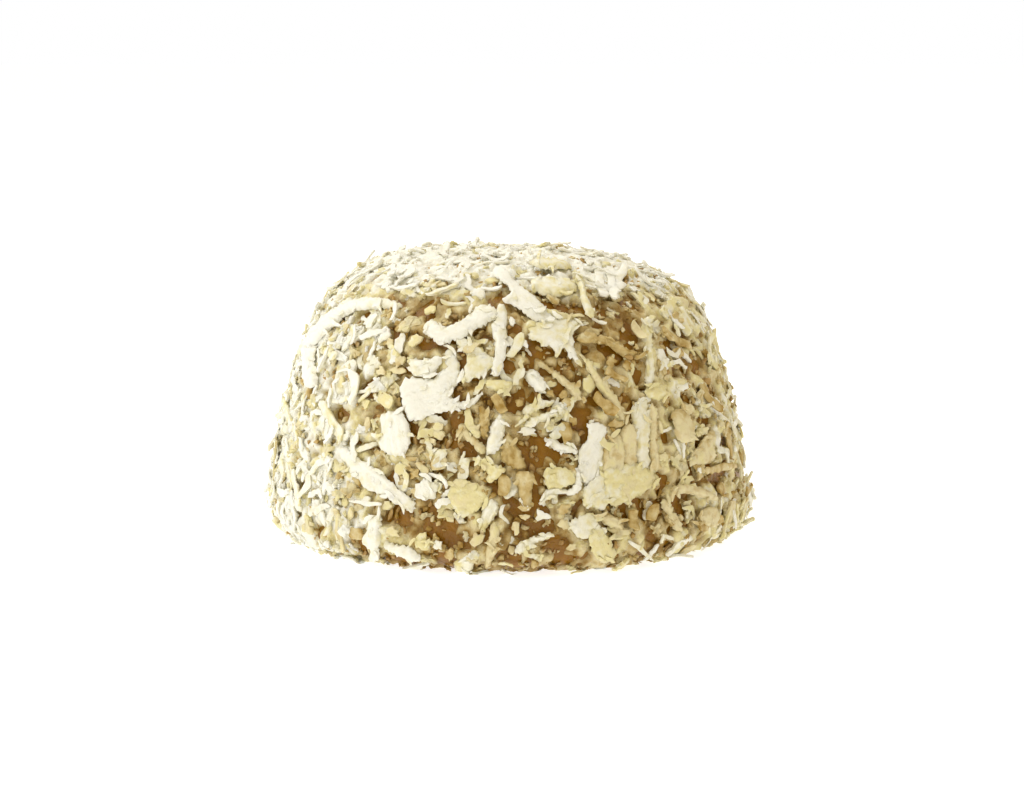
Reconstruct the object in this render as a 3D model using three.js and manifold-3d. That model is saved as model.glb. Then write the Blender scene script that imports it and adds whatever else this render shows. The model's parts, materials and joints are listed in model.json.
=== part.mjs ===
// A steamed palm sugar cake, turned out of its little cup and rolled in fresh grated coconut.
// The cake and the coconut that clings to it are one solid. Millimetres, +Z up, front towards -Y,
// with the origin at the middle of the flat underside.
import * as THREE from "three";
import { mergeVertices } from "three/addons/utils/BufferGeometryUtils.js";
import Module from "manifold-3d";

// The cake without its coat
const FOOT_RADIUS = 18.6; // the flat that it rests on
const WIDEST_RADIUS = 24.0;
const WIDEST_HEIGHT = 3.0;
const SHOULDER_RADIUS = 19.8;
const SHOULDER_HEIGHT = 20.0;
const CAKE_HEIGHT = 27.8;
const SIDE_BOW = 0.5; // bulge of the side past a straight cone
const SHOULDER_RUN = 6.4; // how far the side's own line reaches into the shoulder
const CROWN_RUN = 11.5; // how far the level crown reaches into the shoulder
const SWELL = 0.35; // slow unevenness of the set batter
const SWELL_FADE = 4.0; // climb over which the unevenness grows from the flat underside
// Its slow waves: share of the whole, lobes round the cake, turn, and turn gained for each mm of climb
const SWELL_WAVES = [
  { share: 0.5, lobes: 2, turn: 0.8, twist: 0 },
  { share: 0.3, lobes: 3, turn: 0, twist: -1 / 6 },
  { share: 0.2, lobes: 5, turn: 0, twist: 1 / 4 },
];
const CROWN_LEAN = 0.5; // how far the crown's left stands out and its right sinks in
const LEAN_RADIUS = 13.0; // distance from the axis at which it leans most
const LEAN_SPREAD = 6.0;
const CRUMB_RELIEF = 0.35; // most that the fine crumbs stand out between the larger pieces
const FACETS_AROUND = 48;
const FACETS_UP = 18;
const PROFILE_STEPS = 300;

// The coconut
const SHRED_THICK = 1.3;
const SHRED_LENGTH = { least: 3.2, most: 8.4 };
const SHRED_WIDTH = { least: 0.7, most: 1.5 };
const SHRED_BEND = 0.16; // most sideways bow, as a share of the length
const SHRED_TIP = 0.45; // width of a shred's ends, as a share of its middle
const SHRED_CURL = 0.7; // most that an end stands off the cake
const SHRED_STEP = 2.8; // length of a shred that one facet spans
const FLAKE_THICK = 0.5;
const FLAKE_LENGTH = { least: 2.6, most: 5.6 };
const FLAKE_SLIMNESS = { least: 0.5, most: 0.85 };
const FLAKE_CORNERS = 6;
const FLAKE_RAGGED = 0.22; // how far a corner may stand in or out
const FLAKE_TILT = 0.22; // most slope of a flake against the cake
const CHIP_WIDTH = { least: 1.5, most: 2.3 };
const CHIP_FLATNESS = 0.7;
const CHIP_RAGGED = 0.2;
const FLAKE_MIDDLE = 0.1; // a vertex nearer than this to a slice's axis is its middle
const FLAKE_LIFT = 0.6; // height of a flake's middle above the cake
const FLAKE_KEEL = 1.2; // how far the middle of a flake's underside reaches down into the cake
const BED_LIFT = 0.3; // height of a shred's or chip's middle above the cake
const LEAST_HEIGHT = 0.06; // pieces at the foot are pressed flat at this height

// Pieces beyond the front are spread by a rule
const SPREAD_PIECES = 196;
const SPREAD_JITTER = 1.1;
const SHRED_SHARE = 0.56;
const FLAKE_SHARE = 0.76; // above this share of the draws a piece is a chip
const FRONT_FACING = 0.24; // above this a spot shows from the front, where the pieces are laid by hand
const SMALL_PIECES = 44; // short shreds and chips, all round, wherever they find room between the others
const SMALL_LENGTH = { least: 1.9, most: 3.2 };
const SMALL_WIDTH = { least: 0.6, most: 1.0 };
const SMALL_CHIP = { least: 1.1, most: 1.6 };
const SMALL_SHRED_SHARE = 0.6;
const SMALL_ROOM = 1.3; // least distance from a small piece to the middle of any other
const GOLDEN_TURN = Math.PI * (3 - Math.sqrt(5));
const FRONT_SEED = 611;
const SPREAD_SEED = 20431;
const DRAW_FACTOR = 16807;
const DRAW_MODULUS = 2147483647;

// The front is laid out on a sketch of it as the eye sees it from close by and a little above.
// Sketch marks run to the right and down, with SKETCH_SCALE marks to the millimetre at the aim.
const SKETCH_SCALE = 9.65;
const SKETCH_CENTRE = new THREE.Vector2(510.6, 397.9);
const EYE_DISTANCE = 220;
const EYE_RISE = THREE.MathUtils.degToRad(9.8);
const EYE_AIM = new THREE.Vector3(0, 0, 13);
const COAT_DEPTH = 0.6; // the sketch lies this far outside the bare cake
const LEAST_STRIDE = 0.05; // shortest step along a line of sight
const SEAM_GAP = 1e-3; // points closer than this are one

// Each row: from x, y to x, y, sideways bow, width, all in sketch marks
const FRONT_SHREDS = [
  [309, 336, 401, 303, -13, 11],
  [310, 337, 313, 387, 2, 14],
  [422, 331, 490, 306, 11, 15],
  [501, 303, 496, 376, 0, 11],
  [500, 276, 555, 323, -3, 12],
  [571, 268, 593, 319, 1, 8],
  [650, 317, 650, 387, 2, 10],
  [341, 447, 412, 508, 1, 17],
  [501, 415, 491, 455, 0, 14],
  [595, 424, 586, 478, 2, 19],
  [540, 503, 577, 487, -8, 8],
  [516, 551, 554, 533, -5, 11],
  [494, 501, 485, 532, 0, 13],
  [376, 520, 375, 562, 2, 17],
  [382, 541, 418, 556, 2, 14],
  [415, 424, 483, 393, 7, 9],
  [542, 438, 580, 452, 4, 8],
  [583, 357, 629, 427, -5, 9],
  [593, 334, 646, 354, 1, 7],
  [460, 425, 482, 453, 0, 9],
  [522, 414, 554, 401, 0, 9],
  [524, 422, 560, 412, 0, 10],
  [707, 339, 717, 375, 5, 7],
  [720, 433, 687, 459, 0, 14],
  [660, 497, 683, 531, -1, 11],
  [682, 484, 718, 502, -4, 12],
  [322, 402, 345, 440, 0, 12],
  [541, 310, 590, 319, -2, 7],
  [536, 360, 580, 395, -3, 11],
  [338, 509, 346, 550, 2, 7],
  [471, 460, 507, 468, 6, 9],
  [598, 513, 624, 527, -5, 12],
  [495, 524, 487, 569, -5, 13],
];

// Each row: middle x, y, length, breadth, and the long side's turn in degrees
const FRONT_FLAKES = [
  [430, 390, 84, 38, 54],
  [395, 435, 44, 34, 80],
  [564, 332, 34, 26, -15],
  [545, 334, 38, 30, -10],
  [628, 482, 70, 48, 10],
  [634, 450, 42, 30, 10],
  [471, 498, 42, 36, 30],
  [599, 543, 46, 28, -60],
  [560, 480, 36, 22, 0],
  [513, 451, 40, 18, 80],
  [550, 266, 50, 16, 0],
  [611, 283, 44, 24, 75],
];

// Each row: middle x, y and width across
const FRONT_CHIPS = [
  [477, 293, 18],
  [371, 322, 18],
  [347, 344, 16],
  [385, 334, 14],
  [420, 368, 22],
  [468, 348, 17],
  [588, 385, 18],
  [386, 400, 20],
  [354, 437, 16],
  [326, 459, 17],
  [437, 459, 20],
  [427, 491, 20],
  [421, 541, 15],
  [466, 562, 18],
  [550, 550, 19],
  [639, 306, 19],
  [686, 320, 20],
  [682, 386, 15],
  [705, 451, 20],
  [730, 513, 23],
];

const wasm = await Module();
wasm.setup();

const coconutCake = new THREE.MeshStandardMaterial({ color: 0xc6b58c, roughness: 0.75, metalness: 0 });

// A seeded draw between two values, by the minimal standard generator.
let seed = FRONT_SEED;
function draw(least, most) {
  seed = (seed * DRAW_FACTOR) % DRAW_MODULUS;
  return least + ((most - least) * seed) / DRAW_MODULUS;
}

// The cake's outline as evenly spaced (radius, height) points, from the foot's rim to the crown.
function cakeProfile() {
  const widest = new THREE.Vector2(WIDEST_RADIUS, WIDEST_HEIGHT);
  const shoulder = new THREE.Vector2(SHOULDER_RADIUS, SHOULDER_HEIGHT);
  const along = shoulder.clone().sub(widest).normalize();
  const bulge = widest.clone().lerp(shoulder, 0.5);
  bulge.add(new THREE.Vector2(along.y, -along.x).multiplyScalar(2 * SIDE_BOW));
  const rolled = shoulder.clone().sub(bulge).setLength(SHOULDER_RUN).add(shoulder);
  const outline = new THREE.Path();
  outline.moveTo(FOOT_RADIUS, 0);
  outline.quadraticCurveTo(WIDEST_RADIUS, 0, WIDEST_RADIUS, WIDEST_HEIGHT);
  outline.quadraticCurveTo(bulge.x, bulge.y, SHOULDER_RADIUS, SHOULDER_HEIGHT);
  outline.bezierCurveTo(rolled.x, rolled.y, CROWN_RUN, CAKE_HEIGHT, 0, CAKE_HEIGHT);
  return outline.getSpacedPoints(PROFILE_STEPS);
}

const profile = cakeProfile();
const profileLength = profile.reduce((sum, p, i) => sum + (i ? p.distanceTo(profile[i - 1]) : 0), 0);
const climbStep = profileLength / PROFILE_STEPS;

// The outline's outward direction at a profile point.
function profileNormal(index) {
  const before = profile[Math.max(index - 1, 0)];
  const after = profile[Math.min(index + 1, PROFILE_STEPS)];
  const along = after.clone().sub(before).normalize();
  return new THREE.Vector2(along.y, -along.x);
}

const profileNormals = profile.map((_, index) => profileNormal(index));

// How far the set batter stands out at an angle and a climb from the foot.
function swell(angle, climb) {
  const radius = profile[Math.round(climb / climbStep)].x;
  const waves = SWELL_WAVES.map(
    ({ share, lobes, turn, twist }) => share * Math.sin(lobes * angle + turn + twist * climb),
  );
  const rolling = (SWELL * waves.reduce((sum, wave) => sum + wave) * radius) / WIDEST_RADIUS;
  const leaning = -CROWN_LEAN * Math.cos(angle) * Math.exp(-(((radius - LEAN_RADIUS) / LEAN_SPREAD) ** 2));
  return Math.min(1, climb / SWELL_FADE) * (rolling + leaning);
}

// A spot on the cake by its angle and its climb from the foot, with its outward normal.
function spotAt(angle, climb) {
  const index = THREE.MathUtils.clamp(Math.round(climb / climbStep), 0, PROFILE_STEPS);
  const held = index * climbStep;
  const out = profileNormals[index];
  const at = profile[index].clone().addScaledVector(out, swell(angle, held));
  const point = new THREE.Vector3(at.x * Math.cos(angle), at.x * Math.sin(angle), at.y);
  const normal = new THREE.Vector3(out.x * Math.cos(angle), out.x * Math.sin(angle), out.y);
  return { angle, climb: held, point, normal };
}

// The angle and climb of the cake's spot nearest to a point, and how far outside the cake the point lies.
function nearest(point) {
  const angle = Math.atan2(point.y, point.x);
  const flat = new THREE.Vector2(Math.hypot(point.x, point.y), point.z);
  let best = 0;
  profile.forEach((p, i) => {
    if (flat.distanceToSquared(p) < flat.distanceToSquared(profile[best])) best = i;
  });
  const climb = best * climbStep;
  const outside = flat.clone().sub(profile[best]).dot(profileNormals[best]) - swell(angle, climb);
  return { angle, climb, outside };
}

const eyeBack = new THREE.Vector3(0, -Math.cos(EYE_RISE), Math.sin(EYE_RISE));
const eyeUp = new THREE.Vector3(0, Math.sin(EYE_RISE), Math.cos(EYE_RISE));
const eye = EYE_AIM.clone().addScaledVector(eyeBack, EYE_DISTANCE);

// The spot that a sketch mark falls on. A mark just past the outline takes the spot that it passes nearest.
function spotFromSketch(x, y) {
  const aim = EYE_AIM.clone();
  aim.x += (x - SKETCH_CENTRE.x) / SKETCH_SCALE;
  aim.addScaledVector(eyeUp, (SKETCH_CENTRE.y - y) / SKETCH_SCALE);
  const sight = aim.sub(eye).normalize();
  let reach = EYE_DISTANCE - 2 * WIDEST_RADIUS;
  let closest = { outside: Infinity };
  while (reach < EYE_DISTANCE + WIDEST_RADIUS && closest.outside > COAT_DEPTH) {
    const found = nearest(eye.clone().addScaledVector(sight, reach));
    if (found.outside < closest.outside) closest = found;
    reach += Math.max(found.outside - COAT_DEPTH, LEAST_STRIDE);
  }
  return spotAt(closest.angle, closest.climb);
}

// Two directions along the surface at a spot: level, and uphill.
function groundAt(spot) {
  const level = new THREE.Vector3(-Math.sin(spot.angle), Math.cos(spot.angle), 0);
  return { level, uphill: spot.normal.clone().cross(level) };
}

// The spot reached from another one by a step along its surface.
function stepFrom(spot, level, uphill) {
  const ground = groundAt(spot);
  const moved = spot.point.clone().addScaledVector(ground.level, level);
  const found = nearest(moved.addScaledVector(ground.uphill, uphill));
  return spotAt(found.angle, found.climb);
}

// Keeps a geometry's positions, moves each by a function, and presses what is under the foot flat.
function moulded(geometry, move) {
  geometry.deleteAttribute("normal");
  geometry.deleteAttribute("uv");
  const merged = mergeVertices(geometry);
  const position = merged.getAttribute("position");
  const vertex = new THREE.Vector3();
  for (let i = 0; i < position.count; i++) {
    const moved = move(vertex.fromBufferAttribute(position, i));
    position.setXYZ(i, moved.x, moved.y, Math.max(moved.z, LEAST_HEIGHT));
  }
  return merged;
}

// Where the pieces laid so far have their middles, a shred its whole trail.
const laid = [];

// A shred along a trail of spots: a flat strip that narrows to its ends, which may stand off the cake.
function shred(trail, width) {
  laid.push(...trail.map((spot) => spot.point));
  const startCurl = draw(0, SHRED_CURL);
  const endCurl = draw(0, SHRED_CURL);
  const steps = trail.length - 1;
  const strip = new THREE.BoxGeometry(1, width, SHRED_THICK, steps, 1, 1);
  return moulded(strip, (v) => {
    const share = v.x + 0.5;
    const station = Math.round(share * steps);
    const here = trail[station];
    const ahead = trail[Math.min(station + 1, steps)].point;
    const along = ahead.clone().sub(trail[Math.max(station - 1, 0)].point);
    const across = here.normal.clone().cross(along).normalize();
    const slim = THREE.MathUtils.lerp(SHRED_TIP, 1, Math.sin(Math.PI * share));
    const curl = startCurl * (1 - share) ** 3 + endCurl * share ** 3;
    return here.point
      .clone()
      .addScaledVector(across, v.y * slim)
      .addScaledVector(here.normal, v.z * slim + BED_LIFT + curl);
  });
}

// The shares of a shred's length at which it may bend.
function bends(length) {
  const steps = Math.max(1, Math.round(length / SHRED_STEP));
  return Array.from({ length: steps + 1 }, (_, station) => station / steps);
}

// How far aside a bowed line runs at a share of its length, as a share of its bow.
function asideAt(share) {
  return 4 * share * (1 - share);
}

// The spots under a bowed line between two sketch marks.
function trailOnSketch([fromX, fromY, toX, toY, bow]) {
  const length = Math.hypot(toX - fromX, toY - fromY);
  return bends(length / SKETCH_SCALE).map((share) => {
    const aside = (bow * asideAt(share)) / length;
    const x = THREE.MathUtils.lerp(fromX, toX, share) - (toY - fromY) * aside;
    const y = THREE.MathUtils.lerp(fromY, toY, share) + (toX - fromX) * aside;
    return spotFromSketch(x, y);
  });
}

// The spots under a bowed line of a given length and turn about a spot.
function trailAbout(middle, length, turn, bow) {
  return bends(length).map((share) => {
    const along = (share - 0.5) * length;
    const aside = bow * length * asideAt(share);
    const level = along * Math.cos(turn) - aside * Math.sin(turn);
    const uphill = along * Math.sin(turn) + aside * Math.cos(turn);
    return stepFrom(middle, level, uphill);
  });
}

// A flake: a thin slice with uneven corners that lies along the cake, a little aslant.
function flake(middle, length, breadth, turn) {
  laid.push(middle.point);
  const corners = Array.from({ length: FLAKE_CORNERS }, () => 1 + draw(-FLAKE_RAGGED, FLAKE_RAGGED));
  const tilt = draw(-FLAKE_TILT, FLAKE_TILT);
  const slice = new THREE.CylinderGeometry(0.5, 0.5, FLAKE_THICK, FLAKE_CORNERS, 1);
  return moulded(slice, (v) => {
    const radius = Math.hypot(v.x, v.z);
    const heading = Math.atan2(v.z, v.x) + 2 * Math.PI;
    const corner = Math.round((heading * FLAKE_CORNERS) / (2 * Math.PI)) % FLAKE_CORNERS;
    const ragged = radius > FLAKE_MIDDLE ? corners[corner] : 1;
    const along = v.x * ragged * length;
    const aside = v.z * ragged * breadth;
    const level = along * Math.cos(turn) + aside * Math.sin(turn);
    const uphill = along * Math.sin(turn) - aside * Math.cos(turn);
    const foot = stepFrom(middle, level, uphill);
    const keel = radius < FLAKE_MIDDLE && v.y < 0 ? FLAKE_KEEL : 0;
    const slope = Math.max(tilt * along, -FLAKE_LIFT);
    return foot.point.clone().addScaledVector(foot.normal, v.y + FLAKE_LIFT + slope - keel);
  });
}

// A chip: a small uneven lump pressed into the cake.
function chip(middle, width) {
  laid.push(middle.point);
  const ground = groundAt(middle);
  const lump = new THREE.IcosahedronGeometry(width / 2, 0);
  return moulded(lump, (v) => {
    const ragged = 1 + draw(-CHIP_RAGGED, CHIP_RAGGED);
    return middle.point
      .clone()
      .addScaledVector(ground.level, v.x * ragged)
      .addScaledVector(ground.uphill, v.y * ragged)
      .addScaledVector(middle.normal, v.z * CHIP_FLATNESS + BED_LIFT);
  });
}

// The pieces of the front, laid by hand.
function frontPieces() {
  const shreds = FRONT_SHREDS.map((row) => shred(trailOnSketch(row), row[5] / SKETCH_SCALE));
  const flakes = FRONT_FLAKES.map(([x, y, length, breadth, turn]) =>
    flake(
      spotFromSketch(x, y),
      length / SKETCH_SCALE,
      breadth / SKETCH_SCALE,
      THREE.MathUtils.degToRad(turn),
    ),
  );
  const chips = FRONT_CHIPS.map(([x, y, width]) => chip(spotFromSketch(x, y), width / SKETCH_SCALE));
  return [...shreds, ...flakes, ...chips];
}

// The climb below which a share of the cake's outer area lies.
function climbOfShare(share) {
  const bands = profile.map((p, i) => (i ? ((p.x + profile[i - 1].x) / 2) * climbStep : 0));
  const whole = bands.reduce((sum, band) => sum + band, 0);
  let area = 0;
  const index = bands.findIndex((band) => (area += band) >= share * whole);
  return index * climbStep;
}

// A piece of a drawn kind and size about a spot.
function drawnPiece(middle) {
  const kind = draw(0, 1);
  const turn = draw(0, 2 * Math.PI);
  if (kind < SHRED_SHARE) {
    const length = draw(SHRED_LENGTH.least, SHRED_LENGTH.most);
    const bow = draw(-SHRED_BEND, SHRED_BEND);
    return shred(trailAbout(middle, length, turn, bow), draw(SHRED_WIDTH.least, SHRED_WIDTH.most));
  }
  if (kind < FLAKE_SHARE) {
    const length = draw(FLAKE_LENGTH.least, FLAKE_LENGTH.most);
    return flake(middle, length, length * draw(FLAKE_SLIMNESS.least, FLAKE_SLIMNESS.most), turn);
  }
  return chip(middle, draw(CHIP_WIDTH.least, CHIP_WIDTH.most));
}

// A number of spots spread evenly over the cake by a golden turn, each with a seeded jitter.
function spreadSpots(count) {
  return Array.from({ length: count }, (_, i) => {
    const even = spotAt(i * GOLDEN_TURN, climbOfShare((i + 0.5) / count));
    return stepFrom(even, draw(-SPREAD_JITTER, SPREAD_JITTER), draw(-SPREAD_JITTER, SPREAD_JITTER));
  });
}

// The large pieces of the back, the sides and the crown.
function spreadPieces() {
  seed = SPREAD_SEED;
  const hidden = spreadSpots(SPREAD_PIECES).filter((spot) => spot.normal.dot(eyeBack) < FRONT_FACING);
  return hidden.map((middle) => drawnPiece(middle));
}

// The small pieces that fill the room between the others.
function smallPieces() {
  const roomy = spreadSpots(SMALL_PIECES).filter((spot) =>
    laid.every((other) => other.distanceTo(spot.point) > SMALL_ROOM),
  );
  return roomy.map((middle) => {
    const turn = draw(0, 2 * Math.PI);
    if (draw(0, 1) > SMALL_SHRED_SHARE) return chip(middle, draw(SMALL_CHIP.least, SMALL_CHIP.most));
    const length = draw(SMALL_LENGTH.least, SMALL_LENGTH.most);
    return shred(trailAbout(middle, length, turn, 0), draw(SMALL_WIDTH.least, SMALL_WIDTH.most));
  });
}

// The cake under the pieces: the outline turned about the axis, with the batter's unevenness and its crumbs.
function crumbedCake() {
  const rings = Array.from({ length: FACETS_UP + 1 }, (_, ring) => {
    const p = profile[Math.round((ring * PROFILE_STEPS) / FACETS_UP)];
    return new THREE.Vector2(ring === FACETS_UP ? 0 : p.x, p.y);
  });
  const turned = new THREE.LatheGeometry([new THREE.Vector2(0, 0), ...rings], FACETS_AROUND);
  turned.rotateX(Math.PI / 2);
  turned.deleteAttribute("normal");
  turned.deleteAttribute("uv");
  const cake = mergeVertices(turned, SEAM_GAP);
  const position = cake.getAttribute("position");
  for (let i = 0; i < position.count; i++) {
    const point = new THREE.Vector3().fromBufferAttribute(position, i);
    if (point.z > LEAST_HEIGHT) {
      const { angle, climb } = nearest(point);
      const spot = spotAt(angle, climb);
      const crumbed = spot.point.addScaledVector(spot.normal, draw(0, CRUMB_RELIEF));
      position.setXYZ(i, crumbed.x, crumbed.y, Math.max(crumbed.z, LEAST_HEIGHT));
    }
  }
  return cake;
}

// A closed geometry as a solid, with its faces turned to point outwards.
function solidOf(geometry) {
  const triVerts = new Uint32Array(geometry.index.array);
  const vertProperties = new Float32Array(geometry.getAttribute("position").array);
  const solid = new wasm.Manifold(new wasm.Mesh({ numProp: 3, vertProperties, triVerts }));
  if (solid.volume() > 0) return solid;
  for (let i = 0; i < triVerts.length; i += 3) {
    [triVerts[i], triVerts[i + 1]] = [triVerts[i + 1], triVerts[i]];
  }
  return new wasm.Manifold(new wasm.Mesh({ numProp: 3, vertProperties, triVerts }));
}

// The largest body of a joined solid: what isn't joined to the cake is dropped, and hollows are filled.
function mainBody(solid) {
  return solid.decompose().reduce((most, body) => (body.volume() > most.volume() ? body : most));
}

// A solid's triangles as a geometry.
function geometryOf(solid) {
  const { vertProperties, triVerts } = solid.getMesh();
  const geometry = new THREE.BufferGeometry();
  geometry.setAttribute("position", new THREE.BufferAttribute(vertProperties, 3));
  geometry.setIndex(new THREE.BufferAttribute(triVerts, 1));
  geometry.computeVertexNormals();
  return geometry;
}

const coated = [...frontPieces(), ...spreadPieces(), ...smallPieces()].reduce(
  (joined, piece) => joined.add(solidOf(piece)),
  solidOf(crumbedCake()),
);
const cake = new THREE.Mesh(geometryOf(mainBody(coated)), coconutCake);
cake.name = "cake";

const steamedCake = new THREE.Group();
steamedCake.add(cake);

export default steamedCake;
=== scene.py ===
"""A steamed palm sugar cake rolled in fresh grated coconut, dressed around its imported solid.

The cake itself is a moist amber jelly. A soft blanket of fine coconut clings to it, with bare gaps. Over
that lie the coconut's shreds, flakes and chips, the larger ones where the solid has them, then splinters,
tufts and crumbs in what room is left. Lengths are in millimetres until a mesh is made, and metres in the
meshes.
"""
from __future__ import annotations

import json
import logging
import math
from collections.abc import Callable
from dataclasses import dataclass, field
from enum import Enum
from functools import partial

import bmesh
import bpy
import numpy as np
from bpy.types import Collection, ColorRamp, ID, Material, Mesh, Node, NodeSocket, NodeTree, Object
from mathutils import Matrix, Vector
from mathutils.geometry import delaunay_2d_cdt
from numpy.random import Generator

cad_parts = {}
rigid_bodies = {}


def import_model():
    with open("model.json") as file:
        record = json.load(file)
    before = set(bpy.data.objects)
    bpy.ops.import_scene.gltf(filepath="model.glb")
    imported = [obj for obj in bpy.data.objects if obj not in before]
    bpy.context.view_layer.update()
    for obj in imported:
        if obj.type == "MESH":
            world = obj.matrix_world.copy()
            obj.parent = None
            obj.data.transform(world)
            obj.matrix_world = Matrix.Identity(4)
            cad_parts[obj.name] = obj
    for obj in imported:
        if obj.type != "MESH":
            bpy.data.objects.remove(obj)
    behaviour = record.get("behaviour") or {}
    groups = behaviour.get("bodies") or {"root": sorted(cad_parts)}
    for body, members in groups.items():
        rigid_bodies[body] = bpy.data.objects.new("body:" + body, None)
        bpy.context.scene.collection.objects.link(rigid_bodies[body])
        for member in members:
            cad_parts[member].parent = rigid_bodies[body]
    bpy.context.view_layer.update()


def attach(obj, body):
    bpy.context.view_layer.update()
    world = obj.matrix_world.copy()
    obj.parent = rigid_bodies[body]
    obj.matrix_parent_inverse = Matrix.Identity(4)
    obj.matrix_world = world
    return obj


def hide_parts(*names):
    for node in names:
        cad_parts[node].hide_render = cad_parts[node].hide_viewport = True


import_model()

Array = np.ndarray
Pair = tuple[float, float]  # a least and a most, or two lengths
Triple = tuple[float, float, float]
Faces = list[tuple[int, ...]]  # by vertex numbers
Shape = tuple[Array, Faces, Array]  # vertices, faces, and how near each vertex is to a torn rim
log = logging.getLogger("coconut_cake")

MM = 0.001
BODY = "root"
NODE = "cake"
FRAME_WIDTH = 1024  # pixels across the picture
FRAME_HEIGHT = 800
FLOOR_GAP = 0.03  # nothing reaches lower than this above the floor
SHARP_EDGE = math.radians(75)  # edges of the coconut that turn more than this stay sharp


class Tone(Enum):
    """How far the palm sugar has soaked a piece of coconut, as its place on the coconut's run of colours."""

    SOAKED = 0.05
    BEIGE = 0.22
    CREAM = 0.44
    YELLOW = 0.62
    IVORY = 0.78
    WHITE = 0.96


# How often each tone comes up among the pieces away from the front.
TONE_SHARES = {Tone.WHITE: 0.42, Tone.IVORY: 0.24, Tone.CREAM: 0.2, Tone.YELLOW: 0.1, Tone.BEIGE: 0.04}

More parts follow.
